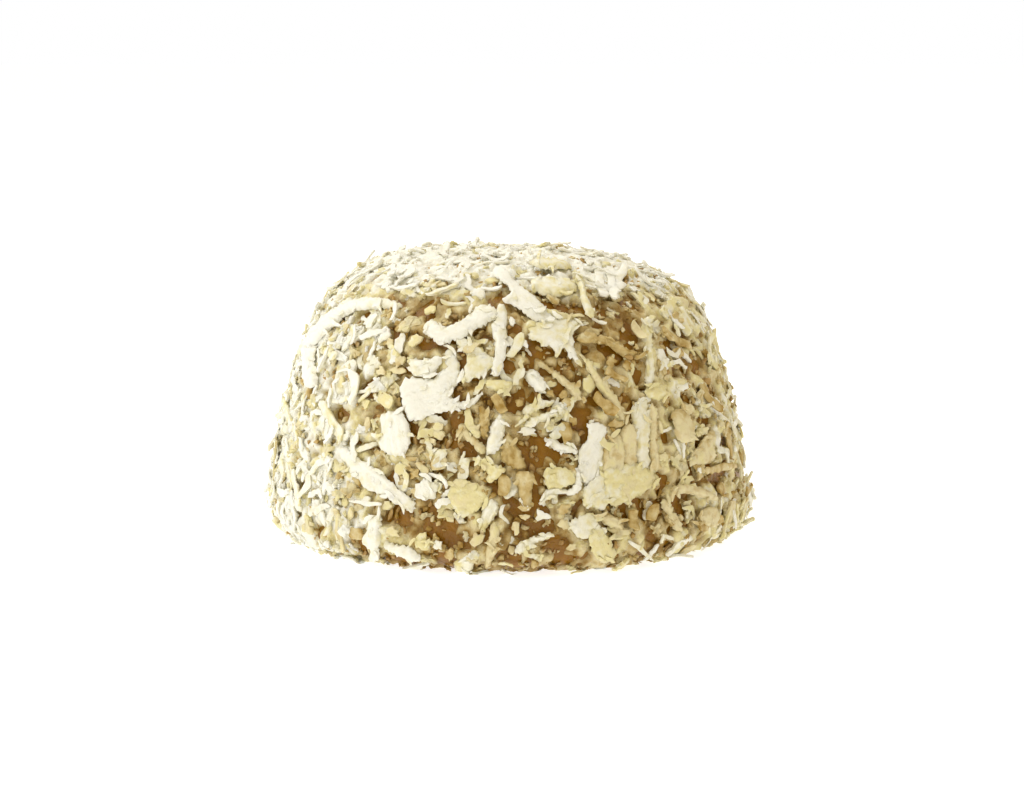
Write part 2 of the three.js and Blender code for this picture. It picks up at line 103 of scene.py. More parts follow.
# The front's pieces are marked on a sketch of it, with Sketch.scale marks to the millimetre.
# The larger ones that lie there, by the corners of their torn outlines.
FRONT_PIECES: dict[Tone, tuple[tuple[Pair, ...], ...]] = {
    Tone.WHITE: (
        ((418, 485), (425, 478), (432, 480), (438, 496), (431, 500), (423, 502)),
        ((542, 436), (559, 442), (578, 448), (578, 455), (558, 451), (549, 446)),
        ((403, 303), (392, 299), (376, 298), (350, 303), (328, 315), (311, 335), (306, 348), (314, 350),
         (330, 332), (346, 318), (364, 309), (390, 310), (400, 308)),
        ((306, 338), (314, 335), (318, 345), (316, 357), (320, 382), (313, 390), (306, 384), (304, 354)),
        ((421, 330), (424, 322), (431, 317), (437, 322), (444, 327), (462, 322), (475, 308), (483, 304),
         (494, 307), (501, 314), (484, 326), (466, 337), (448, 345), (438, 343), (428, 338)),
        ((499, 303), (506, 305), (508, 316), (506, 330), (506, 358), (499, 376), (494, 378), (490, 372),
         (495, 350), (491, 330), (497, 311)),
        ((491, 273), (499, 271), (515, 283), (534, 297), (552, 311), (558, 319), (549, 324), (529, 318),
         (513, 305), (504, 305), (501, 301), (510, 298), (512, 292), (497, 282)),
        ((524, 372), (531, 368), (538, 370), (545, 383), (546, 389), (541, 394), (530, 386)),
        ((446, 349), (453, 350), (460, 364), (460, 375), (450, 397), (462, 402), (473, 399), (482, 391),
         (485, 394), (474, 406), (452, 410), (434, 415), (417, 421), (409, 419), (403, 402), (402, 383),
         (408, 377), (428, 380), (437, 378), (446, 362)),
        ((409, 358), (425, 361), (440, 355), (445, 361), (435, 373), (430, 379), (412, 377)),
        ((400, 410), (408, 420), (413, 437), (410, 452), (394, 457), (379, 450), (381, 428), (380, 418),
         (386, 412)),
        ((498, 414), (505, 411), (505, 422), (502, 445), (496, 454), (484, 455), (489, 436), (493, 420)),
        ((538, 505), (541, 496), (547, 489), (556, 486), (570, 489), (576, 480), (574, 468), (579, 466),
         (583, 482), (579, 492), (571, 496), (556, 493), (548, 497), (544, 507)),
        ((584, 425), (590, 421), (600, 423), (607, 429), (605, 446), (602, 466), (594, 482), (584, 488),
         (578, 470), (579, 450), (588, 436)),
        ((370, 517), (377, 514), (385, 516), (380, 531), (382, 540), (379, 548), (381, 557), (375, 562),
         (369, 560), (371, 551), (360, 543), (366, 530)),
        ((382, 541), (396, 544), (412, 548), (423, 558), (416, 562), (398, 556), (383, 550)),
        ((341, 448), (349, 447), (354, 455), (371, 464), (385, 477), (400, 488), (414, 502), (416, 510),
         (411, 514), (398, 504), (381, 495), (364, 487), (362, 480), (349, 474), (342, 456)),
    ),
    Tone.IVORY: (
        ((526, 268), (540, 262), (570, 264), (573, 272), (545, 274)),
        ((428, 451), (446, 447), (449, 454), (440, 468), (432, 470)),
        ((455, 341), (464, 338), (480, 346), (494, 357), (490, 364), (467, 358)),
        ((530, 284), (545, 280), (573, 282), (578, 290), (560, 298), (533, 294)),
        ((529, 326), (541, 318), (568, 317), (584, 323), (573, 332), (572, 342), (578, 362), (570, 357),
         (564, 346), (556, 356), (551, 345), (541, 347), (538, 340), (528, 340)),
        ((570, 268), (576, 267), (584, 281), (587, 301), (594, 319), (588, 319), (580, 305), (578, 286)),
        ((645, 316), (652, 314), (657, 318), (652, 330), (654, 364), (652, 387), (646, 386), (647, 358),
         (641, 326)),
        ((466, 357), (476, 352), (494, 358), (496, 366), (483, 375), (468, 383), (462, 378), (466, 369)),
        ((490, 498), (497, 500), (500, 508), (493, 523), (482, 533), (480, 526), (483, 508)),
        ((514, 550), (519, 543), (536, 536), (553, 532), (556, 537), (541, 540), (520, 557)),
        ((677, 308), (683, 305), (693, 321), (694, 331), (688, 337), (682, 330)),
        ((452, 566), (458, 560), (465, 556), (472, 560), (475, 567), (468, 574), (456, 572)),
        ((631, 410), (640, 399), (649, 402), (651, 430), (647, 452), (650, 468), (639, 474), (634, 440)),
        ((583, 487), (592, 480), (604, 470), (611, 480), (609, 500), (603, 512), (594, 507), (583, 507)),
        ((566, 524), (573, 519), (592, 512), (600, 524), (595, 536), (580, 540)),
        ((522, 408), (530, 404), (545, 399), (555, 400), (552, 405), (538, 411), (527, 417), (522, 414)),
        ((525, 420), (540, 416), (555, 409), (562, 411), (558, 416), (543, 421), (530, 428), (524, 426)),
    ),
    Tone.CREAM: (
        ((646, 403), (656, 405), (657, 430), (655, 450), (661, 471), (650, 469), (648, 440)),
        ((620, 432), (628, 424), (635, 426), (638, 452), (636, 472), (626, 474), (620, 452)),
        ((458, 424), (464, 423), (475, 436), (487, 449), (484, 455), (468, 444), (458, 430)),
        ((668, 489), (676, 484), (697, 485), (714, 497), (719, 503), (702, 499), (682, 493), (673, 497)),
        ((660, 499), (667, 500), (677, 515), (685, 530), (678, 532), (667, 516)),
        ((686, 458), (699, 444), (712, 430), (718, 432), (713, 446), (715, 456), (708, 463), (688, 468)),
        ((533, 361), (541, 359), (556, 369), (577, 386), (583, 398), (578, 401), (562, 384), (551, 373)),
        ((578, 353), (585, 356), (602, 378), (622, 403), (631, 424), (626, 427), (607, 400), (588, 372)),
        ((603, 450), (611, 434), (619, 430), (624, 450), (622, 474), (610, 476), (602, 474)),
        ((692, 520), (704, 507), (713, 508), (717, 516), (716, 526), (705, 529)),
        ((668, 413), (679, 409), (688, 414), (692, 438), (684, 444), (675, 441), (672, 428)),
        ((596, 514), (605, 513), (621, 521), (624, 529), (617, 530), (603, 523)),
        ((491, 522), (498, 523), (501, 531), (497, 550), (490, 568), (484, 569), (487, 540)),
    ),
    Tone.YELLOW: (
        ((541, 308), (562, 310), (592, 321), (570, 320), (545, 315)),
        ((484, 380), (493, 378), (510, 382), (513, 388), (508, 393), (490, 391)),
        ((470, 459), (479, 456), (496, 463), (508, 469), (497, 478), (490, 483), (485, 479), (490, 473)),
        ((452, 481), (459, 477), (474, 483), (489, 488), (490, 497), (478, 511), (463, 520), (452, 507),
         (448, 499)),
        ((542, 470), (551, 466), (570, 469), (578, 482), (563, 488), (544, 488)),
        ((602, 470), (622, 463), (640, 464), (653, 470), (663, 481), (646, 492), (627, 500), (618, 508),
         (608, 502), (603, 488)),
        ((586, 530), (602, 525), (612, 543), (617, 555), (603, 566), (592, 556)),
        ((421, 532), (430, 545), (427, 551), (419, 550), (413, 543)),
        ((643, 395), (645, 388), (655, 384), (665, 386), (668, 394), (660, 402)),
    ),
    Tone.BEIGE: (
        ((576, 333), (595, 333), (615, 340), (630, 350), (646, 353), (640, 357), (620, 354), (603, 342),
         (584, 343)),
        ((477, 408), (484, 404), (490, 420), (490, 431), (486, 438), (481, 438)),
        ((503, 438), (509, 430), (518, 448), (526, 468), (518, 470), (500, 462)),
        ((512, 470), (531, 472), (535, 478), (530, 497), (534, 506), (527, 509), (519, 505), (518, 485)),
    ),
}

# Each shred: from x, y to x, y, its sideways bow and its width.
FRONT_SHREDS: dict[Tone, tuple[tuple[float, ...], ...]] = {
    Tone.WHITE: (
        (355, 371, 353, 402, -2, 12), (447, 263, 509, 265, 0, 8), (318, 501, 326, 523, 2, 12),
        (598, 268, 603, 300, 2, 9), (609, 266, 611, 304, -2, 10), (622, 272, 614, 298, 1, 9),
        (594, 288, 622, 286, 3, 8),
    ),
    Tone.IVORY: (
        (523, 334, 510, 357, 0, 8), (442, 306, 466, 304, 0, 6), (322, 349, 340, 358, 0, 7),
        (332, 520, 330, 534, 0, 6), (515, 385, 522, 369, 0, 6), (318, 501, 313, 516, 0, 9),
        (288, 400, 300, 440, 3, 12), (280, 455, 292, 492, -3, 11), (296, 470, 306, 505, 4, 10),
        (322, 402, 345, 440, 0, 12), (707, 336, 716, 374, 2, 6),
    ),
    Tone.CREAM: (
        (632, 323, 642, 340, 0, 7), (338, 509, 346, 550, 2, 7), (355, 509, 347, 524, 0, 6),
        (420, 463, 428, 474, 0, 8),
    ),
    Tone.BEIGE: (
        (653, 504, 648, 520, 0, 10), (716, 519, 695, 527, 0, 10), (631, 511, 633, 529, 0, 11),
        (722, 425, 730, 455, -2, 9), (700, 380, 716, 410, 3, 9), (594, 395, 613, 415, 0, 10),
        (495, 396, 505, 412, 0, 8), (604, 370, 624, 382, 0, 7), (507, 476, 502, 495, 0, 12),
        (701, 471, 732, 466, 0, 8), (660, 330, 690, 345, 2, 8),
    ),
}

# Each chip: middle x, y, breadth and height.
FRONT_CHIPS: dict[Tone, tuple[tuple[float, ...], ...]] = {
    Tone.WHITE: (
        (664, 363, 16, 13), (367, 500, 14, 12), (477, 293, 16, 18), (371, 322, 20, 15),
        (359, 336, 13, 13), (347, 344, 14, 17), (385, 334, 12, 16), (352, 365, 18, 12),
        (377, 387, 16, 16), (420, 368, 26, 17), (354, 437, 12, 20), (525, 344, 7, 9), (512, 322, 9, 9),
        (528, 433, 20, 10), (661, 355, 10, 12), (682, 386, 18, 12), (644, 399, 14, 8),
        (650, 411, 12, 10), (326, 459, 20, 14), (427, 491, 20, 20), (544, 516, 14, 10),
        (438, 545, 11, 9),
    ),
    Tone.CREAM: (
        (367, 425, 8, 15), (401, 360, 12, 13), (347, 326, 12, 13), (403, 327, 12, 12),
        (439, 436, 10, 10), (438, 426, 10, 10), (390, 343, 12, 9), (397, 371, 16, 9),
        (382, 371, 10, 10), (468, 348, 20, 14), (476, 430, 12, 14), (435, 453, 20, 12),
        (441, 285, 16, 12), (615, 443, 12, 14), (686, 320, 11, 27), (687, 411, 16, 14),
        (705, 451, 22, 18), (351, 492, 7, 14), (388, 506, 14, 10), (418, 493, 12, 10),
        (391, 533, 16, 10), (437, 459, 22, 18), (564, 524, 12, 12), (516, 527, 12, 14),
        (525, 517, 10, 8), (477, 539, 13, 13), (571, 548, 12, 8), (707, 516, 16, 13),
        (730, 513, 24, 22),
    ),
    Tone.YELLOW: (
        (402, 469, 12, 12), (431, 310, 14, 11), (346, 502, 8, 10), (366, 403, 14, 10),
        (588, 385, 16, 20), (415, 340, 16, 14), (342, 382, 12, 14), (386, 400, 22, 17),
        (492, 281, 16, 10), (658, 392, 14, 14), (421, 541, 12, 18),
    ),
    Tone.BEIGE: (
        (721, 489, 20, 14), (412, 458, 20, 6), (565, 432, 14, 20), (535, 563, 12, 10),
        (450, 556, 10, 14), (563, 509, 16, 10), (685, 436, 20, 15), (519, 402, 8, 8), (550, 394, 9, 9),
        (330, 341, 10, 11), (309, 395, 12, 14), (567, 403, 12, 11), (562, 394, 10, 9),
        (573, 420, 10, 10), (585, 338, 18, 11), (611, 361, 12, 10), (627, 366, 8, 10), (637, 348, 6, 6),
        (616, 424, 14, 10), (678, 353, 18, 11), (335, 489, 12, 12), (340, 476, 12, 10),
        (356, 480, 12, 10), (415, 474, 12, 12), (357, 535, 16, 12),
    ),
}

# Where the cake shows bare between the pieces: middle x, y, breadth and height.
BARE_PATCHES: tuple[tuple[float, ...], ...] = (
    (560, 309, 46, 14), (603, 309, 16, 12), (626, 331, 18, 20), (609, 346, 30, 10), (497, 296, 10, 10),
    (427, 349, 15, 15), (538, 354, 34, 14), (533, 400, 16, 18), (455, 418, 34, 12), (530, 457, 14, 24),
    (466, 458, 14, 10), (364, 386, 11, 24), (379, 365, 8, 12), (340, 419, 13, 20), (416, 430, 9, 26),
    (391, 476, 11, 16), (396, 519, 34, 14), (405, 540, 16, 8), (463, 545, 20, 16), (504, 556, 16, 15),
    (586, 410, 14, 16), (600, 392, 9, 9), (624, 398, 8, 12), (673, 342, 14, 9), (696, 360, 12, 10),
    (680, 503, 18, 18), (512, 496, 9, 12), (514, 510, 10, 8), (538, 481, 5, 18), (663, 546, 20, 9),
    (356, 546, 14, 9), (321, 532, 10, 12), (582, 562, 16, 10), (416, 308, 10, 10), (563, 380, 12, 20),
    (450, 438, 20, 22), (508, 531, 8, 16), (660, 514, 9, 12), (711, 480, 18, 9), (566, 443, 18, 10),
    (480, 350, 12, 12), (550, 530, 24, 9), (538, 447, 22, 20), (563, 457, 24, 12), (508, 402, 12, 14),
    (562, 364, 24, 12), (518, 400, 20, 14), (577, 424, 14, 20), (428, 515, 44, 12), (588, 345, 20, 10),
    (538, 520, 12, 16), (562, 543, 16, 12), (520, 567, 50, 8), (445, 566, 40, 8), (458, 389, 22, 9),
    (477, 413, 8, 14), (432, 529, 30, 14), (405, 562, 40, 9), (641, 508, 10, 14), (511, 547, 16, 18),
)


def linear(colour: str) -> tuple[float, float, float, float]:
    """Turns an sRGB hex colour into the linear values that shaders use.

    Args:
        colour: Six hex digits after a #.

    Returns:
        Red, green, blue and an alpha of one.
    """
    shares = [int(colour[i : i + 2], 16) / 255 for i in (1, 3, 5)]
    lit = [c / 12.92 if c <= 0.04045 else ((c + 0.055) / 1.055) ** 2.4 for c in shares]
    return (*lit, 1.0)


def add_node(
    tree: NodeTree, kind: str, inputs: dict[str | int, object] | None = None, **settings: object
) -> Node:
    """Adds a node with its settings and its inputs.

    Args:
        tree: The node tree.
        kind: The node's type name.
        inputs: What feeds each input, as feed takes it.
        settings: The node's own settings.

    Returns:
        The new node.
    """
    node = tree.nodes.new(kind)
    for name, value in settings.items():
        setattr(node, name, value)
    feed(tree, node, inputs or {})
    return node


def feed(tree: NodeTree, node: Node, inputs: dict[str | int, object]) -> None:
    """Gives a node its inputs.

    Args:
        tree: The node tree.
        node: The node.
        inputs: Each input's value, the socket that feeds it, or the node whose first output does.
    """
    for name, value in inputs.items():
        source = value.outputs[0] if isinstance(value, Node) else value
        if isinstance(source, NodeSocket):
            tree.links.new(source, node.inputs[name])
        else:
            node.inputs[name].default_value = source


def unit(rows: Array) -> Array:
    """Scales each row of vectors to a length of one."""
    return rows / np.linalg.norm(rows, axis=-1, keepdims=True)


class Draws:
    """Seeded draws by the minimal standard generator, as the solid's own pieces are drawn."""

    FACTOR = 16807
    MODULUS = 2147483647

    def __init__(self, seed: int) -> None:
        """Starts the row of draws at a seed."""
        self.state = seed

    def between(self, least: float, most: float) -> float:
        """Gives the next draw between two values."""
        self.state = self.state * self.FACTOR % self.MODULUS
        return least + (most - least) * self.state / self.MODULUS


@dataclass
class Spots:
    """Places on the bare cake: angle about the axis, climb from the foot, point and outward normal."""

    angle: Array
    climb: Array
    point: Array
    normal: Array

    def at(self, index: int) -> Spots:
        """Gives one of the places as a row of one."""
        return self.where(slice(index, index + 1))

    def where(self, chosen: Array | slice) -> Spots:
        """Gives the places that a mask or slice chooses."""
        return Spots(self.angle[chosen], self.climb[chosen], self.point[chosen], self.normal[chosen])

    @property
    def level(self) -> Array:
        """The direction along the surface that stays level."""
        return np.stack([-np.sin(self.angle), np.cos(self.angle), np.zeros_like(self.angle)], -1)

    @property
    def uphill(self) -> Array:
        """The direction along the surface that climbs."""
        return np.cross(self.normal, self.level)


def bezier(corners: list[Pair], share: Array) -> Array:
    """Points of a Bezier curve.

    Args:
        corners: The curve's control points.
        share: Where along its parameter each point lies, from 0 to 1.

    Returns:
        One row for each point.
    """
    rows = [np.array([corner], float) for corner in corners]
    step = np.asarray(share)[:, None]
    while len(rows) > 1:
        rows = [a + (b - a) * step for a, b in zip(rows, rows[1:])]
    return rows[0]


@dataclass
class CakeForm:
    """The bare cake: an outline turned about its axis, with the slow unevenness of the set batter."""

    foot_radius: float = 18.6
    widest_radius: float = 24.0
    widest_height: float = 3.0
    shoulder_radius: float = 19.8
    shoulder_height: float = 20.0
    height: float = 27.8
    side_bow: float = 0.5
    shoulder_run: float = 6.4
    crown_run: float = 11.5
    swell: float = 0.35
    # Each wave of the unevenness: its share, its turns, where it starts, and its climb for each radian.
    swell_waves: tuple[tuple[float, ...], ...] = (
        (0.5, 2, 0.8, math.inf), (0.3, 3, 0.0, -6.0), (0.2, 5, 0.0, 4.0),
    )
    swell_fade: float = 4.0
    crown_lean: float = 0.5
    lean_radius: float = 13.0
    lean_spread: float = 6.0
    steps: int = 300
    curve_steps: int = 200
    chunk: int = 20000
    profile: Array = field(init=False)
    normals: Array = field(init=False)
    climb_step: float = field(init=False)

    def __post_init__(self) -> None:
        """Works out the outline's points, its outward directions and the climb between two points."""
        self.profile = self._outline()
        ends = np.concatenate([self.profile[:1], self.profile, self.profile[-1:]])
        along = unit(ends[2:] - ends[:-2])
        self.normals = np.stack([along[:, 1], -along[:, 0]], 1)
        self.climb_step = np.linalg.norm(np.diff(self.profile, axis=0), axis=1).sum() / self.steps

    def _outline(self) -> Array:
        """Evenly spaced (radius, height) points from the foot's rim to the crown."""
        widest = np.array([self.widest_radius, self.widest_height])
        shoulder = np.array([self.shoulder_radius, self.shoulder_height])
        along = unit(shoulder - widest)
        bulge = (widest + shoulder) / 2 + 2 * self.side_bow * np.array([along[1], -along[0]])
        rolled = shoulder + self.shoulder_run * unit(shoulder - bulge)
        curves = [
            [(self.foot_radius, 0.0), (self.widest_radius, 0.0), tuple(widest)],
            [tuple(widest), tuple(bulge), tuple(shoulder)],
            [tuple(shoulder), tuple(rolled), (self.crown_run, self.height), (0.0, self.height)],
        ]
        share = np.linspace(0, 1, self.curve_steps + 1)
        runs = [
            np.concatenate([[0.0], np.cumsum(np.linalg.norm(np.diff(bezier(c, share), axis=0), axis=1))])
            for c in curves
        ]
        ends = np.cumsum([run[-1] for run in runs])
        targets = np.linspace(0, ends[-1], self.steps + 1)
        which = np.minimum(np.searchsorted(ends, targets), len(curves) - 1)
        points = np.empty((self.steps + 1, 2))
        for k, (curve, run) in enumerate(zip(curves, runs)):
            inside = which == k
            points[inside] = bezier(curve, np.interp(targets[inside] - ends[k] + run[-1], run, share))
        return points

    @property
    def length(self) -> float:
        """The climb from the foot's rim to the crown."""
        return self.steps * self.climb_step

    def along(self, rows: Array, climb: Array) -> Array:
        """Reads rows kept for the outline's points at each climb."""
        at = np.asarray(climb) / self.climb_step
        numbers = np.arange(self.steps + 1)
        return np.stack([np.interp(at, numbers, column) for column in rows.T], 1)

    def swelling(self, angle: Array, climb: Array) -> Array:
        """Gives how far the set batter stands out at each angle and climb."""
        radius = self.along(self.profile, climb)[:, 0]
        waves = sum(
            share * np.sin(turns * angle + (start + climb / pitch))
            for share, turns, start, pitch in self.swell_waves
        )
        rolling = self.swell * waves * radius / self.widest_radius
        nearness = np.exp(-(((radius - self.lean_radius) / self.lean_spread) ** 2))
        leaning = -self.crown_lean * np.cos(angle) * nearness
        return np.minimum(1, climb / self.swell_fade) * (rolling + leaning)

    def spots(self, angle: Array, climb: Array) -> Spots:
        """Finds places on the cake.

        Args:
            angle: Each place's angle about the axis.
            climb: Each place's climb from the foot along the outline.

        Returns:
            The places.
        """
        angle = np.asarray(angle, float)
        held = np.clip(climb, 0, self.length)
        out = unit(self.along(self.normals, held))
        at = self.along(self.profile, held) + out * self.swelling(angle, held)[:, None]
        turn = np.stack([np.cos(angle), np.sin(angle)], 1)
        point = np.concatenate([at[:, :1] * turn, at[:, 1:]], 1)
        normal = np.concatenate([out[:, :1] * turn, out[:, 1:]], 1)
        return Spots(angle, held, point, normal)

    def grid(self, angles: Array, climbs: Array) -> Spots:
        """Finds the places of a turned grid, ring by ring."""
        return self.spots(np.tile(angles, len(climbs)), np.repeat(climbs, len(angles)))

    def nearest(self, points: Array) -> tuple[Array, Array, Array]:
        """Finds the cake's places nearest to some points.

        Args:
            points: Points near the cake.

        Returns:
            Each place's angle and climb, and how far outside the cake the point lies.
        """
        angle = np.arctan2(points[:, 1], points[:, 0])
        flat = np.stack([np.hypot(points[:, 0], points[:, 1]), points[:, 2]], 1)
        best = np.concatenate(
            [
                ((part[:, None, :] - self.profile[None]) ** 2).sum(-1).argmin(1)
                for part in np.array_split(flat, max(1, len(flat) // self.chunk))
            ]
        )
        climb = best * self.climb_step
        outside = ((flat - self.profile[best]) * self.normals[best]).sum(1) - self.swelling(angle, climb)
        return angle, climb, outside

    def step(self, start: Spots, level: Array, uphill: Array) -> Spots:
        """Finds the places reached by steps along the surface.

        Args:
            start: One place, or as many as there are steps.
            level: How far each step goes level.
            uphill: How far each step climbs.

        Returns:
            The places reached.
        """
        level = np.atleast_1d(level)[:, None]
        uphill = np.atleast_1d(uphill)[:, None]
        angle, climb, _ = self.nearest(start.point + start.level * level + start.uphill * uphill)
        return self.spots(angle, climb)

    def climb_of_share(self, share: Array) -> Array:
        """Gives the climb below which each share of the cake's outer area lies."""
        middles = (self.profile[1:, 0] + self.profile[:-1, 0]) / 2 * self.climb_step
        area = np.concatenate([[0.0], np.cumsum(middles)])
        return np.searchsorted(area, np.asarray(share) * area[-1]) * self.climb_step

    def rise(self, points: Array) -> Array:
        """Gives how far outside the bare cake each point lies."""
        return self.nearest(points)[2]


@dataclass
class Sketch:
    """The front as an eye sees it from close by and a little above. Marks run to the right and down."""

    form: CakeForm
    scale: float = 9.65
    centre: Pair = (510.6, 397.9)
    eye_distance: float = 220.0
    eye_rise: float = math.radians(9.8)
    aim: Triple = (0.0, 0.0, 13.0)
    coat_depth: float = 0.6
    least_stride: float = 0.05

    @property
    def back(self) -> Array:
        """The direction from the cake to the eye."""
        return np.array([0.0, -math.cos(self.eye_rise), math.sin(self.eye_rise)])

    @property
    def up(self) -> Array:
        """The sketch's own upward direction."""
        return np.array([0.0, math.sin(self.eye_rise), math.cos(self.eye_rise)])

    @property
    def eye(self) -> Array:
        """Where the eye is."""
        return np.array(self.aim) + self.eye_distance * self.back

    def spots(self, x: Array, y: Array) -> Spots:
        """Finds the places that sketch marks fall on.

        Args:
            x: The marks' distances to the right.
            y: Their distances down.

        Returns:
            The places. A mark just past the outline takes the place that it passes closest to.
        """
        right = (np.atleast_1d(x).astype(float) - self.centre[0]) / self.scale
        rise = (self.centre[1] - np.atleast_1d(y).astype(float)) / self.scale
        aims = np.array(self.aim) + right[:, None] * np.array([1.0, 0, 0]) + rise[:, None] * self.up
        sight = unit(aims - self.eye)
        reach = np.full(len(aims), self.eye_distance - 2 * self.form.widest_radius)
        limit = self.eye_distance + self.form.widest_radius
        best = np.zeros((3, len(aims)))
        best[2] = np.inf
        going = np.ones(len(aims), bool)
        while going.any():
            found = np.array(self.form.nearest(self.eye + sight[going] * reach[going, None]))
            closer = found[2] < best[2, going]
            rows = np.flatnonzero(going)
            best[:, rows[closer]] = found[:, closer]
            reach[rows] += np.maximum(found[2] - self.coat_depth, self.least_stride)
            going[rows] = (reach[rows] < limit) & (best[2, rows] > self.coat_depth)
        return self.form.spots(best[0], best[1])

    def marks(self, points: Array) -> tuple[Array, Array]:
        """Finds where points fall on the sketch.

        Args:
            points: Points in millimetres.

        Returns:
            How far right and how far down each one falls.
        """
        reach = points - self.eye
        depth = -(reach @ self.back)
        spread = self.scale * self.eye_distance / depth
        return self.centre[0] + spread * reach[:, 0], self.centre[1] - spread * (reach @ self.up)


class MeshBatch:
    """Many small closed pieces gathered into one mesh, each with its own tone."""

    def __init__(self, form: CakeForm) -> None:
        """Starts an empty batch of pieces on a cake."""
        self.form = form
        self.points: list[Array] = []
        self.faces: Faces = []
        self.tones: list[Array] = []
        self.rims: list[Array] = []
        self.count = 0

    def add(self, points: Array, faces: Faces, tone: float | Array, rim: float | Array = 0.0) -> None:
        """Adds one piece.

        Args:
            points: Its vertices in millimetres.
            faces: Its faces, by its own vertices' numbers.
            tone: Its place on the coconut's run of colours, or each vertex's.
            rim: How near each vertex is to a thin torn edge, from 0 to 1.
        """
        self.points.append(points)
        self.faces.extend(tuple(corner + self.count for corner in face) for face in faces)
        self.tones.append(np.broadcast_to(tone, len(points)))
        self.rims.append(np.broadcast_to(rim, len(points)))
        self.count += len(points)

    def build(self, name: str, material: Material) -> Object:
        """Makes the batch an object.

        Args:
            name: The object's name.
            material: Its finish.

        Returns:
            The object, at the origin.
        """
        mesh = closed_mesh(name, np.concatenate(self.points), self.faces)
        note(mesh, "tone", np.concatenate(self.tones))
        note(mesh, "rim", np.concatenate(self.rims))
        return finish_piece(name, mesh, material, self.form)


def closed_mesh(name: str, points: Array, faces: Faces) -> Mesh:
    """Makes a mesh of closed shapes whose faces point outwards.

    Args:
        name: The mesh's name.
        points: Its vertices in millimetres.
        faces: Its faces, by vertex numbers.

    Returns:
        The mesh, in metres.
    """
    mesh = plain_mesh(name, points, faces)
    work = bmesh.new()
    work.from_mesh(mesh)
    bmesh.ops.recalc_face_normals(work, faces=work.faces)
    work.to_mesh(mesh)
    work.free()
    return mesh


def plain_mesh(name: str, points: Array, faces: Faces) -> Mesh:
    """Makes a mesh in metres of points in millimetres and faces by their numbers."""
    mesh = bpy.data.meshes.new(name)
    mesh.from_pydata((points * MM).tolist(), [], faces)
    return mesh


def note(mesh: Mesh, label: str, values: Array) -> None:
    """Notes a value for each vertex of a mesh."""
    mesh.attributes.new(label, "FLOAT", "POINT").data.foreach_set("value", values)


def show(name: str, data: ID) -> Object:
    """Makes a mesh, a lamp or a camera an object of the scene, at the origin."""
    piece = bpy.data.objects.new(name, data)
    bpy.context.collection.objects.link(piece)
    return piece


def turned(along: Array, aside: Array, turn: float) -> tuple[Array, Array]:
    """Turns a piece's lengths along and aside into level and uphill ones."""
    return (
        along * math.cos(turn) - aside * math.sin(turn),
        along * math.sin(turn) + aside * math.cos(turn),
    )


def mesh_points(mesh: Mesh) -> Array:
    """Reads a mesh's vertices in millimetres."""
    flat = np.empty(3 * len(mesh.vertices))
    mesh.vertices.foreach_get("co", flat)
    return flat.reshape(-1, 3) / MM


def finish_piece(name: str, mesh: Mesh, material: Material, form: CakeForm) -> Object:
    """Presses a coconut mesh clear of the floor, notes how far it stands off the cake, and shows it.

    Args:
        name: The object's name.
        mesh: The mesh, with a tone for each vertex.
        material: Its finish.
        form: The cake that it lies on.

    Returns:
        The object, at the origin.
    """
    points = mesh_points(mesh)
    points[:, 2] = np.maximum(points[:, 2], FLOOR_GAP)
    mesh.vertices.foreach_set("co", (points * MM).ravel())
    note(mesh, "rise", form.rise(points))
    mesh.shade_smooth()
    mesh.set_sharp_from_angle(angle=SHARP_EDGE)
    mesh.materials.clear()
    mesh.materials.append(material)
    mesh.update()
    return show(name, mesh)


